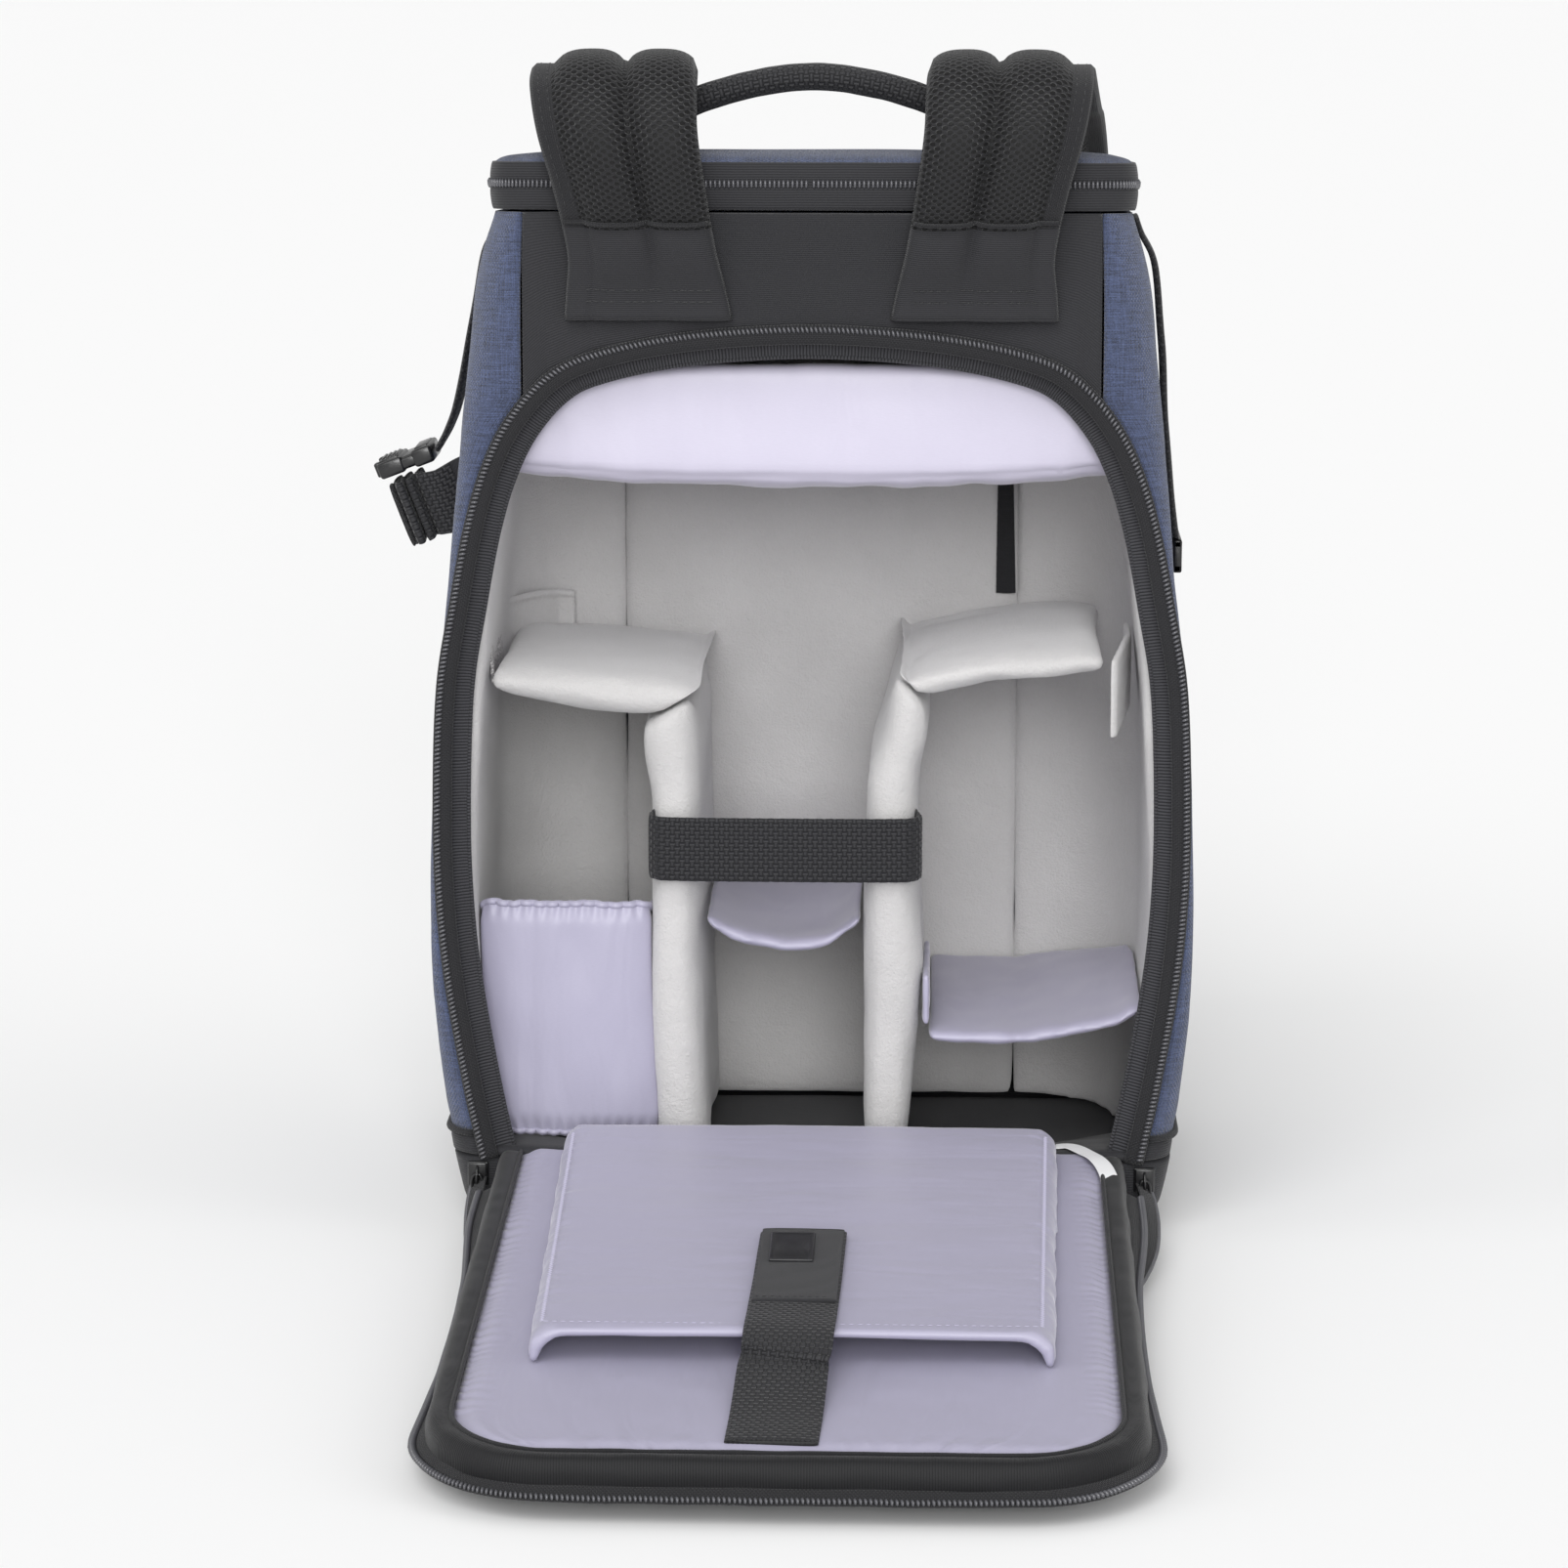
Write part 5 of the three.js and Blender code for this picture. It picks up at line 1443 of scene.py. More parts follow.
def dress_tabs():
    """Hook-and-loop tabs that hold the shelves to the side walls."""
    path = smooth_path([Vector(p) for p in ((-127.6, -62, 0), (-128.0, -30, 0), (-126.6, 5, 0),
                                            (-122.6, 24, 0), (-108, 42.5, 0), (-97, 46.6, 0))], 60)
    run = lengths(path)

    def leaning(u, v):
        at = walk(path, run, mix(46, run[-1] - 4, u))
        inward = (Vector((-95, -60, 0)) - at).normalized()
        z = mix(208, 236 - 4.5 * u + 1.2 * lumps(u * 60, 2, 4, 22), v)
        fold = 1.6 * math.exp(-((v - 0.93) / 0.05) ** 2) - 1.2 * math.exp(-((u - 0.9) / 0.03) ** 2)
        return at + inward * (3.4 + fold + 1.1 * lumps(u * 60, z, 5, 18)) + Vector((0, 0, z))

    bm = cloth_grid(60, 34, leaning, size=(80, 28))
    thicken(bm, 1.4, facing=(0.6, -0.8, 0))
    finish_mesh(bm, "left_shelf_tab", "brushed sheet", ["shelf_left_tab"])

    def hook(u, v):
        at = walk(path, run, mix(2, 44, u) + 3 * lumps(v * 30, 2, 3, 9) * (1 - u))
        z = mix(212, mix(224, 237, u), v) + 1.6 * lumps(u * 40, 6, 1, 8) * v
        return at + Vector((3.4 - 1.5 * v + 0.9 * lumps(u * 40, z, 4, 8), 0, z))

    bm = cloth_grid(40, 26, hook, size=(42, 22))
    thicken(bm, 1.3, facing=(1, 0, 0))
    finish_mesh(bm, "hook_tape", "hook tape")

    bm = eased(cushion_from("shelf_right_tab", 1.3), 2)
    pushed(bm, lambda co, n: 0.35 * lumps(co.y, co.z, 9, 18))
    finish_mesh(bm, "right_shelf_tab", "brushed", ["shelf_right_tab"])
    bm = eased(cushion_from("shelf_low_tab", 1.1), 2)
    pushed(bm, lambda co, n: 0.5 * lumps(co.y * 1.4, co.z, 5, 12))
    finish_mesh(bm, "low_shelf_tab", "satin", ["shelf_low_tab"])


def dress_tray():
    """Padded tray of the top compartment: lip in front, floor sagging behind it."""

    def keep(co):
        return max(ease(co.y, 25, 42), 0.92 * ease(-co.y, 56, 70))

    bm = cushion_from("upper_divider", 4.0)
    bm = puffed(bm, 2.6, pressure=3.5, shrink=1.2, pinned=keep)
    eased(bm, 2)
    shifted(bm, lambda co: Vector((0, 0, -4.6 * ease(312 - co.z, 0, 14) * ease(-co.y, 10, 78))))
    finer(bm)

    hem = curve_of([(0, 295.5), (60, 296), (116, 299.5)], 1)

    def tucked(co):
        below = max(hem(abs(co.x)) - co.z, 0) * ease(-co.y, 55, 75)
        return Vector((0, 0.85 * below, 0))

    shifted(bm, tucked)

    def folds(co, normal):
        front = ease(-co.y, 60, 80)
        off = co.z - hem(abs(co.x))
        drag = 0.8 * lumps(co.x * 0.5, co.z, 2, 24) + 0.5 * lumps(co.x * 2.2, co.z * 0.6, 8, 20)
        pleats = 1.3 * lumps(co.x * 1.6, co.y * 0.3, 4, 22) * ease(-off, 0, 5)
        seam = 1.5 * math.exp(-((off / 1.3) ** 2)) * ease(-co.y, 60, 74)
        return drag * front + pleats - seam - 0.4

    pushed(bm, folds)
    piece = finish_mesh(bm, "top_tray", "pale satin", ["upper_divider"])


def dress_pocket():
    """Flash pocket: thin satin gathered on elastic at its top and bottom."""
    low, high = (corner.z for corner in box_of("flash_pocket"))

    def place(u, v):
        z = mix(low + 0.5, high - 0.5, v)
        wall = curve_of(BODY, 1)(z) - 17.0
        inner = -60.4 - 2.6 * ease(v, 0, 0.8)
        start, end = -wall + 0.6, inner
        gather = 1 - ease(min(v, 1 - v), 0, 0.1)
        if u < 0.16:
            t = u / 0.16
            x, y = start + gather, mix(-50, -71, t)
        elif u > 0.84:
            t = (u - 0.84) / 0.16
            x, y = end - gather, mix(-71, -50, t)
        else:
            t = (u - 0.16) / 0.68
            x = mix(start + gather, end - gather, t)
            y = -71 - 5.2 * math.sin(t * math.pi) ** 0.45
        pleat = math.sin(u * 122 + 2.5 * lumps(u * 60, z, 1, 14))
        y += gather * 0.7 * pleat + 1.6 * gather
        y += 0.55 * lumps(u * 90, z * 0.5, 6, 11) * (1 - gather) - 0.4 * lumps(u * 90, z, 2, 34)
        fold = 0.9 * math.exp(-((u - 0.3 - 0.1 * v) / 0.04) ** 2) * (1 - v)
        rim = -6.0 * ease(abs(u - 0.5), 0.3, 0.42) * v**6
        return Vector((x, y + fold, z + rim + 1.3 * gather * lumps(u * 50, v * 3, 4, 5) * v))

    bm = cloth_grid(130, 52, place, size=(110, high - low))
    thicken(bm, 0.9, facing=(0, -1, 0))
    hem = [place(k / 130, 0.985) + Vector((0, 0.5, 0)) for k in range(131)]
    piping_along(hem, Vector((0, -1, 0)), 1.3, bm)
    foot = [place(k / 130, 0.015) + Vector((0, 0.4, 0)) for k in range(131)]
    piping_along(foot, Vector((0, -1, 0)), 1.2, bm)
    piece = finish_mesh(bm, "flash_pocket_cloth", "satin sheet",
                        ["flash_pocket"])


def dress_cradle():
    """Elastic strap round both uprights."""
    low, high = box_of("cradle_strap")
    front, back = low.y + 1.0, -24.0
    left, right = low.x + 3.0, high.x - 3.2
    corner, tuck = 7.5, 5.0
    line = [Vector((left + tuck, back, 0)), Vector((left + tuck * 0.6, -60, 0)),
            Vector((left, front + corner, 0))]
    line += [Vector((left + corner * (1 - math.cos(a)), front + corner * (1 - math.sin(a)), 0))
             for a in (0.4, 0.8, 1.2)]
    for k in range(1, 12):
        share = k / 12
        sag = 1.3 * math.sin(share * math.pi)
        line.append(Vector((mix(left + corner, right - corner, share), front + sag * 0.4, 0)))
    line += [Vector((right - corner * (1 - math.cos(a)), front + corner * (1 - math.sin(a)), 0))
             for a in (1.2, 0.8, 0.4)]
    line += [Vector((right, front + corner, 0)), Vector((right - tuck * 0.6, -60, 0)),
             Vector((right - tuck, back, 0))]
    line = respaced(line, 150)
    middle = (low.z + high.z) / 2
    for k, point in enumerate(line):
        point.z = middle - 1.2 * math.sin(math.pi * k / 149)

    def section(u, v):
        a, b = flat_section(25.2, 1.9)(u, v)
        return a, b + 0.25 * math.sin(v * 300) * (abs(a) / 12.6) ** 3

    def outward(share):
        i = min(int(share * 149), 147)
        ahead = line[i + 1] - line[i]
        return Vector((ahead.y, -ahead.x, 0)).normalized()

    bm = tube(line, section, outward)
    piece = finish_mesh(bm, "cradle_webbing", "webbing",
                        ["cradle_strap"])
    return piece


def beside_flap(share, outward, z):
    """A point beside the flap's edge, in its own plane: share from the right hinge end round."""
    at = walk(FLAP_EDGE, FLAP_RUN, share * FLAP_RUN[-1])
    ahead = (walk(FLAP_EDGE, FLAP_RUN, min(share * FLAP_RUN[-1] + 1, FLAP_RUN[-1]))
             - walk(FLAP_EDGE, FLAP_RUN, max(share * FLAP_RUN[-1] - 1, 0))).normalized()
    return at + Vector((-ahead.y, ahead.x, 0)) * outward + Vector((0, 0, z))


def dress_flap_rim():
    """Ribbed black edging round the flap: outer wall, soft ridge and the inner fold."""
    rows = [(0, -9.0, -13.0), (0.1, -5.5, -13.6), (0.22, -1.6, -13.2), (0.3, -0.2, -10.5),
            (0.4, 0.2, -6.5), (0.5, -0.2, -2.8), (0.58, -1.8, 0.2), (0.7, -4.2, 1.1),
            (0.84, -6.8, 0.9), (0.93, -8.6, 0.2), (1, -8.9, -1.6)]
    outward, height = curve_of(rows, 1), curve_of(rows, 2)

    def place(u, v):
        far = math.sin(v * math.pi)
        wall = math.exp(-((u - 0.42) / 0.12) ** 2)
        ridge = math.exp(-((u - 0.72) / 0.16) ** 2)
        crumple = 0.9 * lumps(v * 900, u * 9, 4, 34) + 0.45 * lumps(v * 900, u * 14, 7, 12)
        out = outward(u) + wall * crumple * (0.6 + 0.6 * far)
        z = height(u) + ridge * (0.6 * lumps(v * 900, 3, 1, 30) + 0.25 * lumps(v * 900, 5, 2, 9))
        z += 0.5 * wall * lumps(v * 900, 2, 8, 20)
        p = beside_flap(v, out, z)
        return on_flap(p.x, min(p.y, -0.4), p.z)

    bm = cloth_grid(24, 380, place, size=(36, FLAP_RUN[-1]))
    thicken(bm, 1.4, centre=(0, -250, 15))
    piece = finish_mesh(bm, "flap_edging", "edging", ["flap_rim"])
    line = []
    for k in range(261):
        p = beside_flap(k / 260, -8.9, 0.7 + 0.2 * lumps(k * 3.5, 0, 0, 15))
        line.append(on_flap(p.x, min(p.y, -0.6), p.z))
    bm = piping_along(line, UP, 0.9)
    finish_mesh(bm, "flap_edge_bead", "tape")
    return piece


def dress_flap_zip():
    """The flap's half of the zip, under the rim: tape and coil."""
    rows = [(0, 0.9), (0.14, 0.9), (0.3, 0.3), (0.5, 0.25), (0.7, 0.8), (1, 1)]
    proud = curve_of(rows, 1)

    def reach(v):
        return 0.3 + 8.0 * proud(1 - abs(2 * v - 1)) - 0.9

    def place(u, v):
        v = mix(0.021, 0.979, v)
        out = mix(-1.0, reach(v), u)
        z = -7.6 - 2.6 * ease(u, 0, 1) + 0.5 * lumps(v * 900, u * 3, 5, 22) * u
        p = beside_flap(v, out, z)
        return on_flap(p.x, min(p.y, -1.5), p.z)

    bm = cloth_grid(8, 360, place, size=(9, FLAP_RUN[-1] * 0.96))
    thicken(bm, 0.7, facing=(0, 0, 1))
    line = [place(0.9, k / 760) + Vector((0, 0, 0.7)) for k in range(761)]
    coil_row(line, UP, (1.7, 0.62, 1.2), 0.3, onto=bm)
    finish_mesh(bm, "flap_zip_coil", ["tape", "coil"], ["flap_zip"])


def dress_free_tapes():
    """The loose ends of the flap's zip, curving from the sliders down beside the flap."""
    bm = cloth_mesh()
    for side, rows in ((-1, [(129.0, -96, 22), (129.2, -106, 20), (128.6, -122, 17),
                             (126.6, -143, 13.5), (122.6, -166, 10.5), (116.5, -188, 8.5)]),
                       (1, [(129.0, -96, 22), (130.4, -107, 20), (131.0, -124, 16.5),
                            (129.4, -146, 13), (124.0, -170, 10.0), (116.0, -194, 8.0)])):
        line = smooth_path([Vector((side * x, y, z)) for x, y, z in rows], 60)
        up = Vector((side * 0.55, 0, 0.83))
        tube(line, flat_section(7.6, 0.9), up, bm=bm)
        edge = []
        for k in range(60):
            ahead = line[min(k + 1, 59)] - line[max(k - 1, 0)]
            out = ahead.cross(up).normalized() * (1 if side < 0 else -1)
            edge.append(line[k] + out * 3.6)
        coil_row(edge, up, (1.15, 0.55, 0.95), 0.3, onto=bm)
    finish_mesh(bm, "free_zip_ends", ["tape", "coil"])


def inside_flap(u, v, inset, hinge):
    """A point of a plate inside the rim, in the flap's plane: u across, v from the hinge out."""
    length = FLAP_LENGTH - inset + hinge
    y = hinge - v * length
    half = FLAP_HALF - inset
    corner = FLAP_ROUND - inset * 0.4
    deep = -(FLAP_LENGTH - inset) + corner
    if y < deep:
        t = clamp((deep - y) / corner)
        half -= corner * (1 - (1 - t**2.35) ** (1 / 2.35)) * 0.97
    return Vector((mix(-half, half, u), y, 0))


def dress_flap_lining():
    """Satin lining of the flap, quilted softly, puckered at its edge."""

    def place(u, v):
        p = inside_flap(u, v, 9.3, 9.6)
        near = min(u, 1 - u, (1 - v) * 1.3)
        edge = 1 - ease(near, 0, 0.07)
        gather = edge * (0.6 + 0.5 * lumps(p.x, p.y, 7, 40)) * (1 + 0.9 * ease(v, 0.9, 0.97))
        crease = 0.8 * lumps(p.x * 0.6, p.y * 0.35, 3, 22) + 0.3 * lumps(p.x * 1.6, p.y, 9, 12)
        strap = ease(abs(p.x + 4), 17, 24) if v > 0.9 else 1.0
        pucker = (0.8 * math.sin(p.y * 1.05 + 7 * lumps(p.x, p.y, 1, 24)) + 0.3) * gather
        if v > 0.9:
            pucker = (0.7 * math.sin(p.x * 0.55 + 5 * lumps(p.x, p.y, 1, 26)) + 0.4) * gather * strap
        puff = 2.2 * ease(near, 0, 0.035)
        round_off = 1.8 * ease(0.03 - v, 0, 0.03)
        return on_flap(p.x, p.y, -1.4 + puff + crease * 0.7 * (1 - edge) + pucker - round_off)

    bm = cloth_grid(96, 180, place, size=(225, 310))
    thicken(bm, 1.5, facing=(0, 0, 1))
    piece = finish_mesh(bm, "flap_satin", "satin sheet", ["flap_lining"])


def dress_flap_panel():
    """The flap's foam and its outer face, seen from below."""
    bm = eased(cushion_from("flap_panel", 4.5), 2)
    pushed(bm, lambda co, n: 0.3 * lumps(co.x, co.y, 3, 40) - 0.25)
    finish_mesh(bm, "flap_foam", "oxford object", ["flap_panel"])


def sleeve_half(v):
    """Half width of the tablet pocket from hinge (0) to mouth (1)."""
    return 96.5 * (1 - 0.055 * v)


def dress_sleeve():
    """Padded tablet pocket: satin over foam, sewn down both sides and open at its mouth."""
    bm = eased(cushion_from("tablet_pocket", 2.3), 3)

    def pull(co, normal):
        edge = ease(sleeve_half(clamp(-(co.y + 98) / 222)) - abs(co.x), 2, 16)
        soft = 0.6 * lumps(co.x * 0.45, co.y * 1.3, 5, 34) + 0.2 * lumps(co.x, co.y * 2, 1, 15)
        seam = ease(co.z - on_flap(0, co.y + 95.5, 0).z, 7, 14)
        pucker = 0.4 * math.sin(co.y * 1.0 + 7 * lumps(co.y, co.x * 0.1, 2, 26)) * seam
        side = 0.7 * lumps(co.y * 1.6, co.z * 0.7, 3, 17)
        return soft * edge + (pucker + side) * (1 - edge) - 0.3

    pushed(bm, pull)
    piece = finish_mesh(bm, "tablet_sleeve", "satin level",
                        ["tablet_pocket"])

    bm = bmesh.new()
    for side in (-1, 1):
        line = []
        for k in range(200):
            v = mix(0.07, 0.975, k / 199)
            zig = 1.0 if k % 2 else -1.0
            x = side * (sleeve_half(v) - 5.5 + zig)
            y = -3.0 - 222.0 * v
            line.append(on_flap(x, y, 14.75 + 0.3 * lumps(x, y, 0, 30)))
        for a, b in zip(line, line[1:]):
            stitches([a, b], UP, 1.9, 2.4, 0.27, bm)
    mouth = [on_flap(mix(-86, 86, k / 120), -3 - 222 * 0.972, 14.6) for k in range(121)]
    stitches(mouth, UP, 2.2, 3.0, 0.22, bm)
    finish_mesh(bm, "sleeve_stitching", "pale thread")


CLOSURE_PATH = [(-4.3, -293, 1.5), (-3.4, -271, 2.6), (-2.2, -245, 8.5), (-1.2, -239, 12.8),
                (-0.6, -228, 16.3), (0, -209, 16.3), (0.8, -175, 16.3), (1.5, -133, 16.3)]


def dress_closure():
    """Webbing strap over the pocket's mouth, its folded end stitched round a bare badge."""
    line = [on_flap(*p) for p in CLOSURE_PATH]
    line = smooth_path(line, 110)

    bm = tube(line, wavy_section(31.2, 2.0, 0.5, 160, 4, 26), UP)
    piece = finish_mesh(bm, "closure_webbing", "webbing",
                        ["closure_strap"])
    tip = [on_flap(0.4 + 1.1 * k / 12, -205 + 72 * k / 12, 17.6) for k in range(13)]

    bm = tube(respaced([Vector(p) for p in tip], 30), wavy_section(29.5, 1.1, 0.15, 40, 3, 12), UP)
    finish_mesh(bm, "closure_tip", "oxford")

    bm = bmesh.new()
    for y, lift in ((-289, 3.2), (-283, 3.2), (-202, 18.3)):
        row = [on_flap(mix(-14, 13, k / 20), y, lift) for k in range(21)]
        stitches(row, UP, 2.0, 2.6, 0.35, bm)
    finish_mesh(bm, "closure_stitching", "black thread")
    return piece


def dress_badge():
    """Rubber patch with a raised border and nothing on it."""
    low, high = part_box("strap_badge")
    middle = (Vector(low) + Vector(high)) / 2 / MM
    bm = bmesh.new()
    turn = Matrix.Rotation(FLAP_TILT, 4, "X")
    box_at(bm, (-7.9, -14.2, -0.6), (7.9, 14.2, 0.5), 0.5)
    bm.normal_update()
    top = [f for f in bm.faces if f.normal.z > 0.9 and f.calc_area() > 100]
    bmesh.ops.inset_region(bm, faces=top, thickness=1.1, depth=0.0, use_even_offset=True)
    bmesh.ops.inset_region(bm, faces=top, thickness=0.4, depth=-0.5, use_even_offset=True)
    bm.transform(Matrix.Translation(middle + Vector((0, 0, 0.35))) @ turn)
    finish_mesh(bm, "bare_badge", "badge", ["strap_badge"])


def dress_label():
    """Bare woven tape tucked in at the hinge corner."""
    rows = [(95, 10, 1.3), (101.5, 8, 2.1), (108, -3, 2.8), (112.5, -14, 2.6), (114.6, -22, 1.2),
            (115.4, -28, -0.8)]
    line = smooth_path([on_flap(*r) for r in rows], 50)

    bm = tube(line, wavy_section(6.9, 0.5, 0.5, 40, 6, 11), UP)
    finish_mesh(bm, "woven_label", "label", ["flap_label"])


def dress_pads():
    """Back pads under the flap: spacer mesh over foam."""
    for node in ("back_pad_left", "back_pad_right", "lumbar_pad"):
        bm = cushion_from(node, 3.4)

        def keep(co):
            return ease(1.6 - co.z, 0, 1.2)

        bm = puffed(bm, 1.2, shrink=0.8, pinned=keep)
        eased(bm, 2)
        for vert in bm.verts:
            vert.co.z = max(vert.co.z, 0.0)
        piece = finish_mesh(bm, f"{node}_mesh", "spacer object", [node])


# Shoulder strap from its root over the lid to its front end, as in the solids: y, height,
# outward drift, width and padding, in millimetres.
STRAP = [
    (-97.3, 357.8, -8.1, 63.2, 3.6), (-98.8, 368.2, -7.4, 60.1, 4.2),
    (-102.6, 382.1, -6.2, 55.8, 8.7), (-107.0, 406.0, -1.9, 56.4, 14),
    (-108.3, 427.9, 2.5, 59.5, 14), (-100.7, 443.8, 4.3, 62, 14), (-83.6, 449.7, 5.0, 62, 14),
    (-57, 447.8, 6.2, 62, 14), (-19, 437.8, 8.7, 62, 14), (22.8, 429.0, 11.2, 62, 14),
    (62.7, 422.7, 13.6, 62, 14), (89.3, 406.0, 16.1, 62, 14), (102.6, 374.1, 18.6, 62, 14),
    (108.3, 326.4, 21.1, 60.8, 14), (110.2, 270.6, 21.1, 58.9, 14),
    (111.2, 218.9, 18.6, 55.8, 13.3), (111.2, 183.1, 15.5, 49.6, 9.8),
    (110.2, 167.2, 13.6, 38.4, 5.6),
]
STRAP_SPACING = 138.0
BINDING = 8.5


def strap_line(side, count):
    """Centre points, widths and paddings along one strap."""
    points = [Vector((side * (STRAP_SPACING / 2 + r[2]), r[0], r[1])) for r in STRAP]
    fine = smooth_path(points, 400)
    run = lengths(fine)
    rows = []
    for row, point in zip(STRAP, points):
        best = min(range(400), key=lambda i: (fine[i] - point).length)
        rows.append((run[best] / run[-1], row[3], row[4]))
    return smooth_path(points, count), curve_of(rows, 1), curve_of(rows, 2)


def strap_profile(across, wide, thick):
    """Half thickness of a strap at a place across it: two tubes, a groove and a flat binding."""
    half = wide / 2
    edge = min(1.5, thick / 2)
    seam = BINDING - half
    if across < seam:
        return edge
    tube_half = (wide - BINDING) / 4
    for middle in (seam + tube_half, seam + 3 * tube_half):
        away = abs(across - middle) / tube_half
        if away <= 1.0:
            return max(edge * 0.6, thick / 2 * (1 - away**2.6) ** 0.55)
    return edge * 0.6


def dress_shoulder_strap(side):
    sizes = sizes_now()
    word = WORD[side]
    steps = sizes.strap_ribs
    line, wide_at, pad_at = strap_line(side, steps + 1)

    def place_at(u, v):
        i = min(int(round(v * steps)), steps)
        before, after = line[max(i - 1, 0)], line[min(i + 1, steps)]
        tangent = (after - before).normalized()
        out = Vector((0, -tangent.z, tangent.y)).normalized()
        share = i / steps
        wide, thick = wide_at(share), pad_at(share)
        top = u < 0.5
        t = 2 * u if top else 2 - 2 * u
        across = mix(-wide / 2, wide / 2, t)
        height = strap_profile(across, wide, thick)
        fold = 0.5 * lumps(across * 1.4, share * 620, side * 3 + (0 if top else 5), 26)
        seam = 0.9 * math.exp(-((share - 0.068) / 0.006) ** 2)
        bump = ease(thick, 4, 10)
        height = (height * (1 - 0.25 * seam) + fold * bump * 0.6) * ease(t, 0, 0.02)
        return line[i] + Vector((-side * across, 0, 0)) + out * (height if top else -height)

    bm = cloth_grid(76, steps, place_at, size=(124, 640), closed=True, caps=True)
    cut = 0.068
    layer = bm.loops.layers.uv.active
    for face in bm.faces:
        middle = sum((loop[layer].uv.x for loop in face.loops)) / len(face.loops)
        along = sum((loop[layer].uv.y for loop in face.loops)) / len(face.loops) / 640
        t = middle / 62 if middle < 62 else (124 - middle) / 62
        if along < cut:
            face.material_index = 1
        elif t * 62 < BINDING - 0.6:
            face.material_index = 2
    piece = finish_mesh(bm, f"strap_{word}_cloth",
                        ["spacer", "twill", "tape"],
                        [f"shoulder_strap_{word}"])

    def across_at(share, across, lift=0.3):
        i = min(int(round(share * steps)), steps)
        before, after = line[max(i - 1, 0)], line[min(i + 1, steps)]
        tangent = (after - before).normalized()
        out = Vector((0, -tangent.z, tangent.y)).normalized()
        height = strap_profile(across, wide_at(share), pad_at(share))
        return line[i] + Vector((-side * across, 0, 0)) + out * (height + lift)

    bm = cloth_mesh()
    for share in (0.072,):
        wide = wide_at(share)
        row = [across_at(share, mix(-wide / 2 + 1, wide / 2 - 1, k / 60)) for k in range(61)]
        piping_along(row, Vector((0, -1, 0.2)), 0.9, bm)
    finish_mesh(bm, f"strap_{word}_join", "tape")

    bm = bmesh.new()
    up = Vector((0, -1, 0))
    for share in (0.012, 0.022):
        wide = wide_at(share)
        for low, high in ((0.12, 0.32), (0.36, 0.62), (0.66, 0.94)):
            row = [across_at(share, mix(-wide / 2, wide / 2, mix(low, high, k / 12)), 0.2)
                   for k in range(13)]
            stitches(row, up, sizes.stitch, sizes.stitch * 1.15, 0.55, bm)
    for offset in (3.2, BINDING - 2.0):
        row = [across_at(k / 200, offset - wide_at(k / 200) / 2, 0.15) for k in range(16, 196)]
        stitches(row, lambda s: Vector((0, -1, 0)) if s < 0.25 else UP,
                 sizes.stitch, sizes.stitch * 1.4, 0.3, bm)
    finish_mesh(bm, f"strap_{word}_stitching", "black thread")


def dress_ladder_lock(side):
    """Three-bar lock: a frame with two slots and a raised lip."""
    word = WORD[side]
    low, high = box_of(f"ladder_lock_{word}")
    bm = bmesh.new()
    y0, y1 = low.y + 0.4, high.y - 0.4
    for z0, z1 in ((low.z, low.z + 5.3), (low.z + 8.9, high.z - 8.9), (high.z - 5.3, high.z)):
        box_at(bm, (low.x + 0.2, y0, z0), (high.x - 0.2, y1, z1), 0.9)
    for x0 in (low.x, high.x - 4.2):
        box_at(bm, (x0, y0, low.z), (x0 + 4.2, y1, high.z), 1.1)
    box_at(bm, (low.x + 1, y1 - 1.0, low.z - 0.5), (high.x - 1, y1 + 1.6, low.z + 3.4), 0.8)
    for z in (high.z - 17, high.z - 13.5):
        box_at(bm, (low.x + 7, y1 - 0.3, z), (high.x - 7, y1 + 0.5, z + 1.2), 0.3)
    finish_mesh(bm, f"ladder_lock_{word}_cast", "plastic",
                [f"ladder_lock_{word}"])


def dress_lower_webbing(side):
    word = WORD[side]
    end_x = side * (STRAP_SPACING / 2 + 13.6)
    reach = FRONT_ROUND + 0.3 + 2.0

    def corner(angle, z, off=0.0):
        return Vector((side * (half_at(z) - FRONT_ROUND + (reach + off) * math.cos(angle)),
                       front_at(z) - FRONT_ROUND + (reach + off) * math.sin(angle), z))

    def facing(angle):
        return Vector((side * math.cos(angle), math.sin(angle), 0))

    top = box_of(f"lower_webbing_{word}")[1].z
    points = [Vector((end_x, 110.2, top)), Vector((end_x, 110.2, top - 10)),
              corner(1.5, top - 42, 4), corner(1.05, 64, 2), corner(0.6, 48)]
    line = smooth_path(points, 90)
    angles = curve_of([(0, 1.57), (0.2, 1.57), (0.45, 1.5), (0.8, 1.05), (1, 0.6)], 1)

    bm = tube(line, wavy_section(25, 1.9, 0.3, 100, 4, 22), lambda s: facing(angles(s)))
    finish_mesh(bm, f"lower_strap_{word}", "webbing",
                [f"lower_webbing_{word}"])


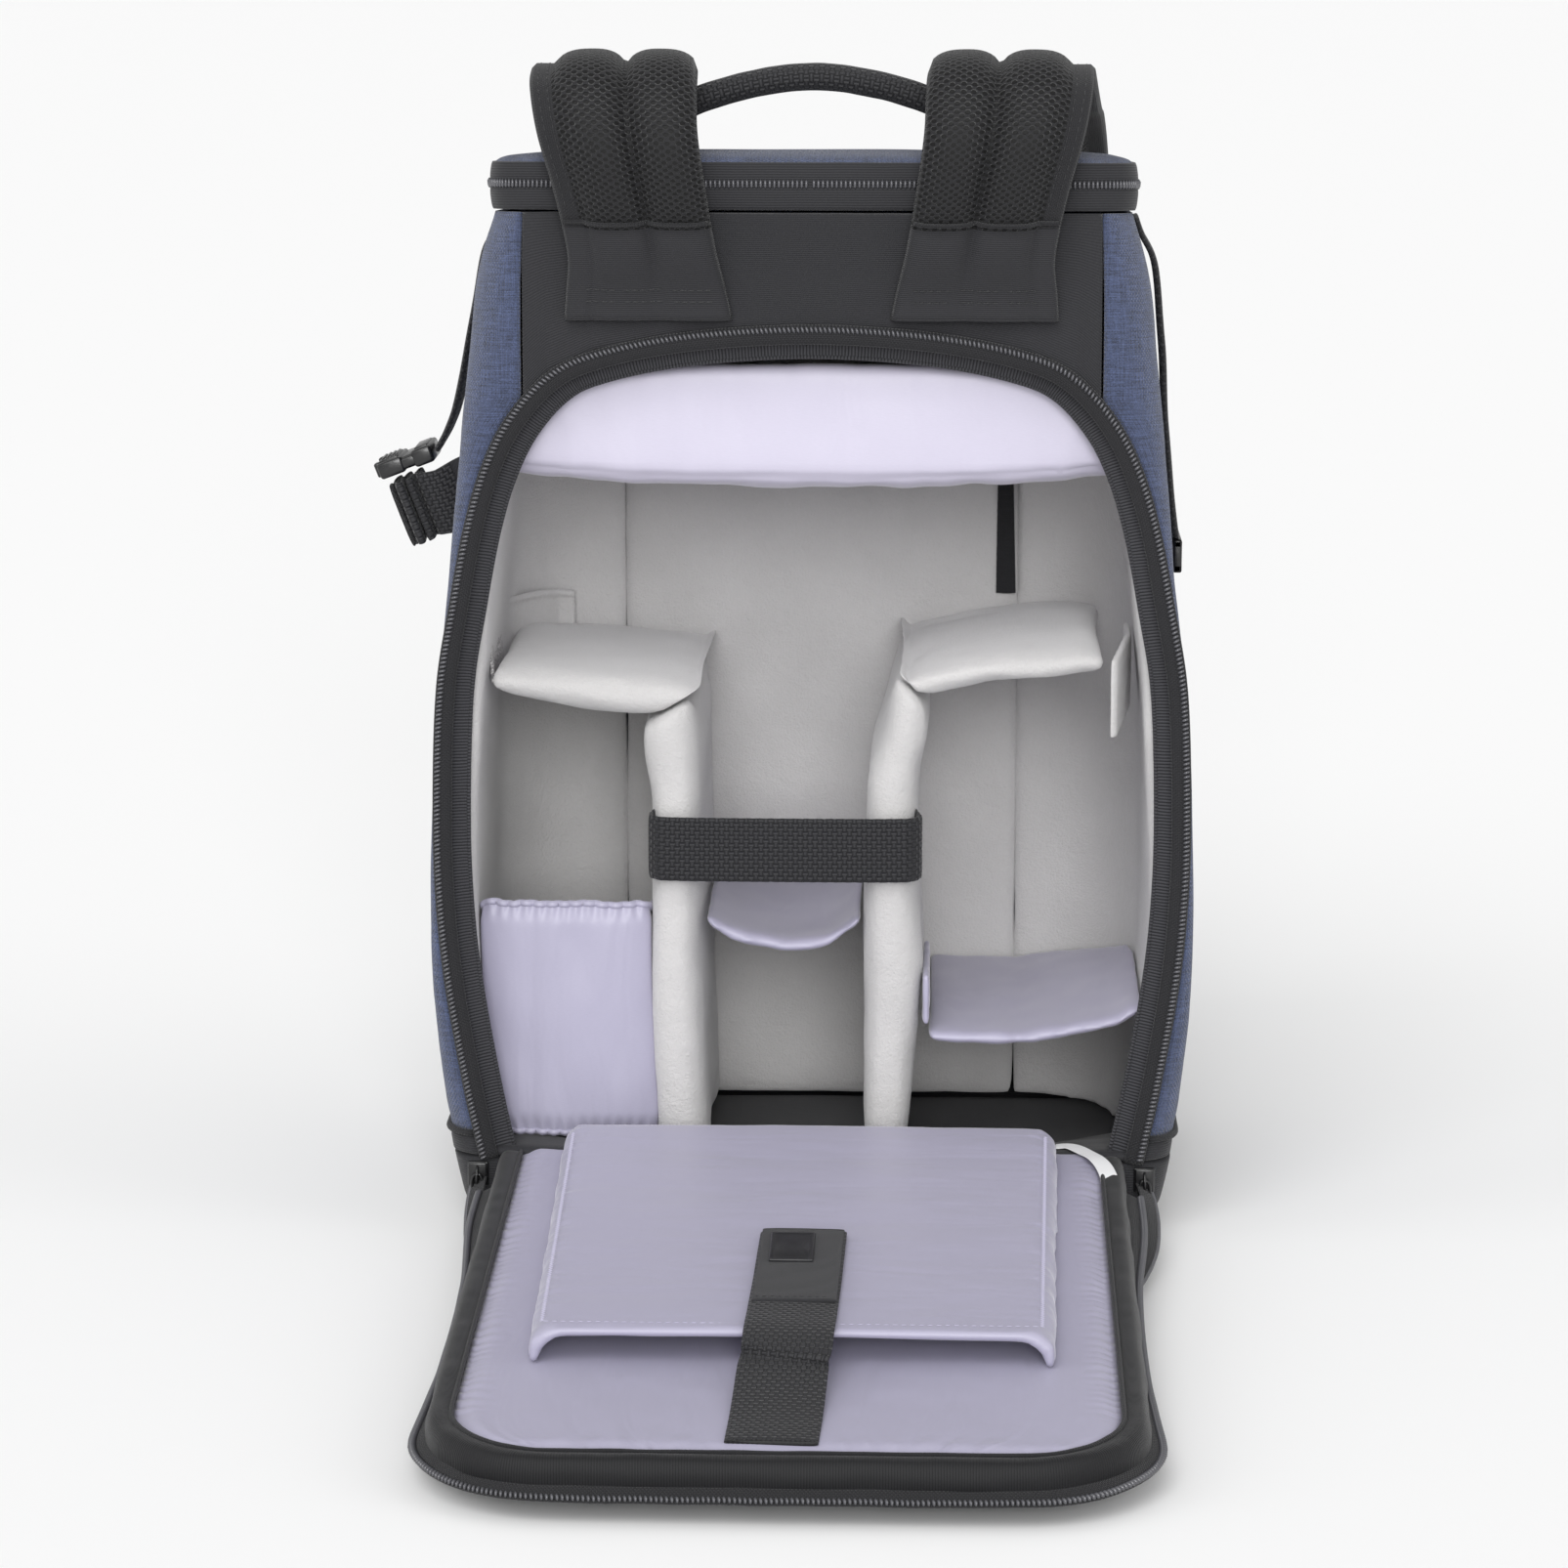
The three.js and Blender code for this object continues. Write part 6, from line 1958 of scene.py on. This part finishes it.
def dress_handle():
    """Haul handle: webbing rolled into a round grip, flat where it is sewn down."""
    low, high = box_of("haul_handle")
    y, foot, half = (low.y + high.y) / 2, low.z + 5.5, 66.0
    right = [(half + 8, 0), (half - 2, 0.6), (half * 0.82, 5.2), (half * 0.66, 11.2),
             (half * 0.34, 17.4), (0, 20)]
    points = [Vector((-x, y, foot + z)) for x, z in right]
    points += [Vector((x, y, foot + z)) for x, z in reversed(right[:-1])]
    line = smooth_path(points, 130)

    def section(u, v):
        a = 2 * math.pi * u
        flat = ease(abs(v - 0.5), 0.38, 0.48)
        wobble = 1 + 0.03 * lumps(v * 180, 4 * math.cos(a), 4 * math.sin(a), 8)
        fold = 1 - 0.1 * math.exp(-((u - 0.75) / 0.02) ** 2)
        return (mix(5.4, 5.9, flat) * math.cos(a) * wobble * fold,
                mix(5.2, 2.4, flat) * math.sin(a) * wobble * fold)

    bm = tube(line, section, UP)
    finish_mesh(bm, "handle_grip", "webbing", ["haul_handle"])
    bm = bmesh.new()
    for side in (-1, 1):
        for k in range(3):
            x = side * (half + 4 - 3 * k)
            row = [Vector((x, mix(y - 4.6, y + 4.6, t / 8), foot + 2.7)) for t in range(9)]
            stitches(row, UP, 1.8, 2.0, 0.5, bm)
    finish_mesh(bm, "handle_stitching", "black thread")


def side_point(side, share, off):
    z = BODY_HEIGHT * share
    return Vector((side * (half_at(z) + 1.8 + off), -12.0, z))


def dress_side_straps():
    """Compression straps seen edge-on at both sides."""
    rows = {
        -1: [(0.978, -1.6), (0.962, -1.1), (0.94, 1.2), (0.87, 3), (0.8, 5.5), (0.77, 8.5),
             (0.748, 12.5)],
        1: [(0.978, -1.6), (0.962, -1.1), (0.93, 1.8), (0.86, 1.6), (0.79, 0.4), (0.72, 0.6),
            (0.665, 1.4)],
    }
    for side, word in ((-1, "left"), (1, "right")):
        line = smooth_path([side_point(side, s, o) for s, o in rows[side]], 90)

        bm = tube(line, wavy_section(24.8, 2.4, 0.35, 120, side, 26), Vector((side, 0, 0)))
        finish_mesh(bm, f"side_webbing_{word}", "webbing",
                    [f"side_strap_{word}"])
    low, high = box_of("side_lock_right")
    bm = bmesh.new()
    box_at(bm, (low.x, low.y, low.z), (high.x, high.y, low.z + 3.4), 0.8)
    box_at(bm, (low.x, low.y, high.z - 3.4), (high.x, high.y, high.z), 0.8)
    for y0 in (low.y, high.y - 3.2):
        box_at(bm, (low.x, y0, low.z), (high.x, y0 + 3.2, high.z), 0.8)
    box_at(bm, (low.x + 0.3, low.y + 2, low.z + 5), (high.x - 0.3, high.y - 2, low.z + 8), 0.9)
    finish_mesh(bm, "side_lock_cast", "plastic", ["side_lock_right"])


def dress_side_buckle():
    """Side-release buckle, its sewn anchor and the folded tail of the strap, at the left."""
    root = BODY_HEIGHT * 0.7
    seat = (Matrix.Translation((-half_at(root) + 4.4, -12.0, root + 4.5))
            @ Matrix.Rotation(math.radians(-21), 4, "Y"))
    bm = bmesh.new()
    box_at(bm, (-35.0, -13, 16.4), (-24.5, 13, 22.8), 1.2)
    box_at(bm, (-25.5, -11.2, 17.0), (-19.5, 11.2, 22.0), 1.0)
    box_at(bm, (-20.5, -13.2, 16.2), (-12.2, 13.2, 23.0), 1.3)
    for side in (-1, 1):
        box_at(bm, (-27, side * 10.5 - 2.2, 17.3), (-18, side * 10.5 + 2.2, 21.7), 1.1)
        box_at(bm, (-36.2, side * 8 - 2.4, 17.4), (-33.8, side * 8 + 2.4, 23.2), 0.7)
    box_at(bm, (-34, -9.5, 22.2), (-26, 9.5, 23.4), 0.5)
    box_at(bm, (-19, -9.5, 22.4), (-13.5, 9.5, 23.5), 0.5)
    for k in range(4):
        box_at(bm, (-33 + 1.9 * k, -7, 23.0), (-32 + 1.9 * k, 7, 23.9), 0.25)
    bm.transform(seat)
    finish_mesh(bm, "side_buckle_cast", "plastic", ["side_buckle_left"])

    layers, top, bottom = 6, 13.5, -12.5
    rows = []
    for k in range(layers):
        x = -21.5 - 2.25 * k
        ends = (-12.0, 8.0) if k % 2 == 0 else (8.0, -12.0)
        rows += [(x, ends[0] - math.copysign(1.2, ends[0])), (x - 0.3, 0), (x, ends[1])]
        if k < layers - 1:
            rows.append((x - 1.1, ends[1] + math.copysign(1.5, ends[1])))
    rows = [(-8.0, -10.5), (-15.0, -12.4)] + rows
    middle = (top + bottom) / 2
    line = smooth_path([seat @ Vector((x, y, middle)) for x, y in rows], 260)

    def section(u, v):
        a, b = flat_section(top - bottom, 1.7)(u, v)
        return a + 1.6 * lumps(v * 200, 1, 2, 16), b + 0.25 * lumps(v * 120, a, 2, 9)

    up = (seat.to_3x3() @ UP).normalized()

    def outward(share):
        i = min(int(share * 259), 258)
        return (line[i + 1] - line[i]).cross(up).normalized()

    bm = tube(line, section, outward)
    finish_mesh(bm, "strap_tail_folds", "webbing", ["strap_tail_left"])

    def anchor(u, v):
        a = 2 * math.pi * u
        rows = [(0, 2.5, 13.5), (0.45, -5, 13.4), (0.8, -11.5, 12.4), (1, -15.5, 11.8)]
        x, half = curve_of(rows, 1)(v), curve_of(rows, 2)(v)
        thick = math.copysign(abs(math.sin(a)) ** 0.6, math.sin(a))
        tall = math.copysign(abs(math.cos(a)) ** 0.45, math.cos(a))
        curved = 2.4 * (1 - tall * tall) * v
        fold = 0.5 * lumps(math.cos(a) * 3, v * 6, 3, 2)
        return seat @ Vector((x - curved, -8.5 + (2.1 + fold) * thick, 0.5 + tall * half))

    bm = cloth_grid(40, 30, anchor, size=(50, 30), closed=True, caps=True)
    finish_mesh(bm, "strap_anchor_cloth", "twill", ["strap_anchor_left"])


def lamp(name, strength, way, spread):
    """A wide, far lamp that shines from way towards the bag."""
    light = bpy.data.lights.new(name, "SUN")
    light.energy = strength
    light.angle = math.radians(spread)
    holder = bpy.data.objects.new(name, light)
    holder.rotation_euler = Vector(way).to_track_quat("Z", "Y").to_euler()
    bpy.context.scene.collection.objects.link(holder)


def set_stage():
    """Wide pale floor, soft lamps and the camera."""
    scene = bpy.context.scene
    stage = scene.pack_stage
    bm = bmesh.new()
    bmesh.ops.create_grid(bm, x_segments=1, y_segments=1, size=200.0)
    bmesh.ops.translate(bm, verts=bm.verts, vec=(0, 0, -0.0004))
    mesh = bpy.data.meshes.new("floor")
    bm.to_mesh(mesh)
    bm.free()
    floor = bpy.data.objects.new("floor", mesh)
    scene.collection.objects.link(floor)
    paint = bpy.data.materials.new("pale floor")
    paint.use_nodes = True
    shader = paint.node_tree.nodes["Principled BSDF"]
    shader.inputs["Base Color"].default_value = opaque(stage.backdrop)
    shader.inputs["Roughness"].default_value = 0.9
    shader.inputs["Specular IOR Level"].default_value = 0.1
    mesh.materials.append(paint)

    world = bpy.data.worlds.new("studio air")
    scene.world = world
    world.use_nodes = True
    sky = world.node_tree.nodes["Background"]
    sky.inputs["Color"].default_value = opaque(stage.backdrop)
    seen = world.node_tree.nodes.new("ShaderNodeLightPath")
    bright = world.node_tree.nodes.new("ShaderNodeMapRange")
    bright.inputs["To Min"].default_value = stage.air
    world.node_tree.links.new(seen.outputs["Is Camera Ray"], bright.inputs["Value"])
    world.node_tree.links.new(bright.outputs["Result"], sky.inputs["Strength"])

    lamp("upper front", stage.key_power, (-0.5, -1.7, 1.9), 40)
    lamp("front", stage.front_power, (0.12, -2.0, 0.62), 25)
    lamp("left", stage.side_power, (-1.6, -0.5, 0.9), 35)
    lamp("right", stage.side_power, (1.6, -0.4, 0.9), 35)

    camera = bpy.data.cameras.new("camera")
    camera.lens = stage.lens
    camera.sensor_width = 36
    camera.clip_start, camera.clip_end = 0.05, 400
    holder = bpy.data.objects.new("camera", camera)
    scene.collection.objects.link(holder)
    back = Vector((math.sin(stage.turn) * math.cos(stage.lift),
                   -math.cos(stage.turn) * math.cos(stage.lift), math.sin(stage.lift)))
    holder.location = Vector(stage.aim) + back * stage.away
    holder.rotation_euler = (-back).to_track_quat("-Z", "Y").to_euler()
    scene.camera = holder
    scene.view_settings.view_transform = "Standard"


STEPS = [
    ("stage", "Studio", "Floor, lamps and the camera", [set_stage]),
    ("body", "Body cloth", "Navy sides and front, black base and yoke",
     [lambda: dress_side(-1), lambda: dress_side(1), dress_front, dress_base, dress_yoke,
      dress_front_seams]),
    ("lid", "Lid", "Domed top, its zip band and coil", [dress_lid_band, dress_lid, dress_lid_zip]),
    ("opening", "Rear opening", "Facing, half zip, sliders and hinge cloth",
     [dress_gusset, dress_opening_zip, dress_sliders, dress_sill]),
    ("lining", "Lining", "Padded walls, floor and the elastic tape",
     [dress_liners, dress_floor, dress_elastic]),
    ("dividers", "Dividers", "Uprights, shelves and their tabs",
     [dress_uprights, dress_shelves, dress_low_shelves, dress_tabs]),
    ("tray", "Top tray", "Padded tray above the camera bay", [dress_tray]),
    ("pocket", "Flash pocket", "Gathered satin pocket and the strap round the uprights",
     [dress_pocket, dress_cradle]),
    ("flap", "Access flap", "Edging, zip, foam and satin of the open flap",
     [dress_flap_rim, dress_flap_zip, dress_free_tapes, dress_flap_lining, dress_flap_panel]),
    ("sleeve", "Tablet pocket", "Padded pocket, its closure strap, badge and label",
     [dress_sleeve, dress_closure, dress_badge, dress_label]),
    ("pads", "Back pads", "Mesh pads under the flap", [dress_pads]),
    ("straps", "Shoulder straps", "Mesh straps, locks and lower webbing",
     [lambda: dress_shoulder_strap(-1), lambda: dress_shoulder_strap(1),
      lambda: dress_ladder_lock(-1), lambda: dress_ladder_lock(1),
      lambda: dress_lower_webbing(-1), lambda: dress_lower_webbing(1)]),
    ("handle", "Haul handle", "Rolled webbing handle", [dress_handle]),
    ("side", "Side straps", "Compression straps, lock and buckle",
     [dress_side_straps, dress_side_buckle]),
]


def operator_for(key, label, words, makers):
    def execute(self, context):
        for maker in makers:
            maker()
        return {"FINISHED"}

    return type(f"PACK_OT_{key}", (bpy.types.Operator,), {
        "__doc__": words, "bl_idname": f"pack.{key}", "bl_label": label, "execute": execute,
    })


OPERATORS = [operator_for(*step) for step in STEPS]


class PACK_PT_panel(bpy.types.Panel):
    """Lists the steps that dress the backpack, and their settings."""

    bl_idname = "PACK_PT_panel"
    bl_label = "Camera backpack"
    bl_space_type = "VIEW_3D"
    bl_region_type = "UI"
    bl_category = "Backpack"

    def draw(self, context):
        column = self.layout.column(align=True)
        for key, label, _, _ in STEPS:
            column.operator(f"pack.{key}", text=label)
        for group in (context.scene.pack_sizes, context.scene.pack_colours,
                      context.scene.pack_stage):
            box = self.layout.box()
            for name in group.__annotations__:
                box.prop(group, name)


CLASSES = [PackColours, PackSizes, StageSettings, *OPERATORS, PACK_PT_panel]


def register():
    for one in CLASSES:
        bpy.utils.register_class(one)
    bpy.types.Scene.pack_colours = PointerProperty(type=PackColours)
    bpy.types.Scene.pack_sizes = PointerProperty(type=PackSizes)
    bpy.types.Scene.pack_stage = PointerProperty(type=StageSettings)


def unregister():
    for name in ("pack_colours", "pack_sizes", "pack_stage"):
        delattr(bpy.types.Scene, name)
    for one in reversed(CLASSES):
        bpy.utils.unregister_class(one)


def main():
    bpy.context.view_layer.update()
    register()
    for key, _, _, _ in STEPS:
        getattr(bpy.ops.pack, key)()
    bpy.context.view_layer.update()


if __name__ == "__main__":
    main()
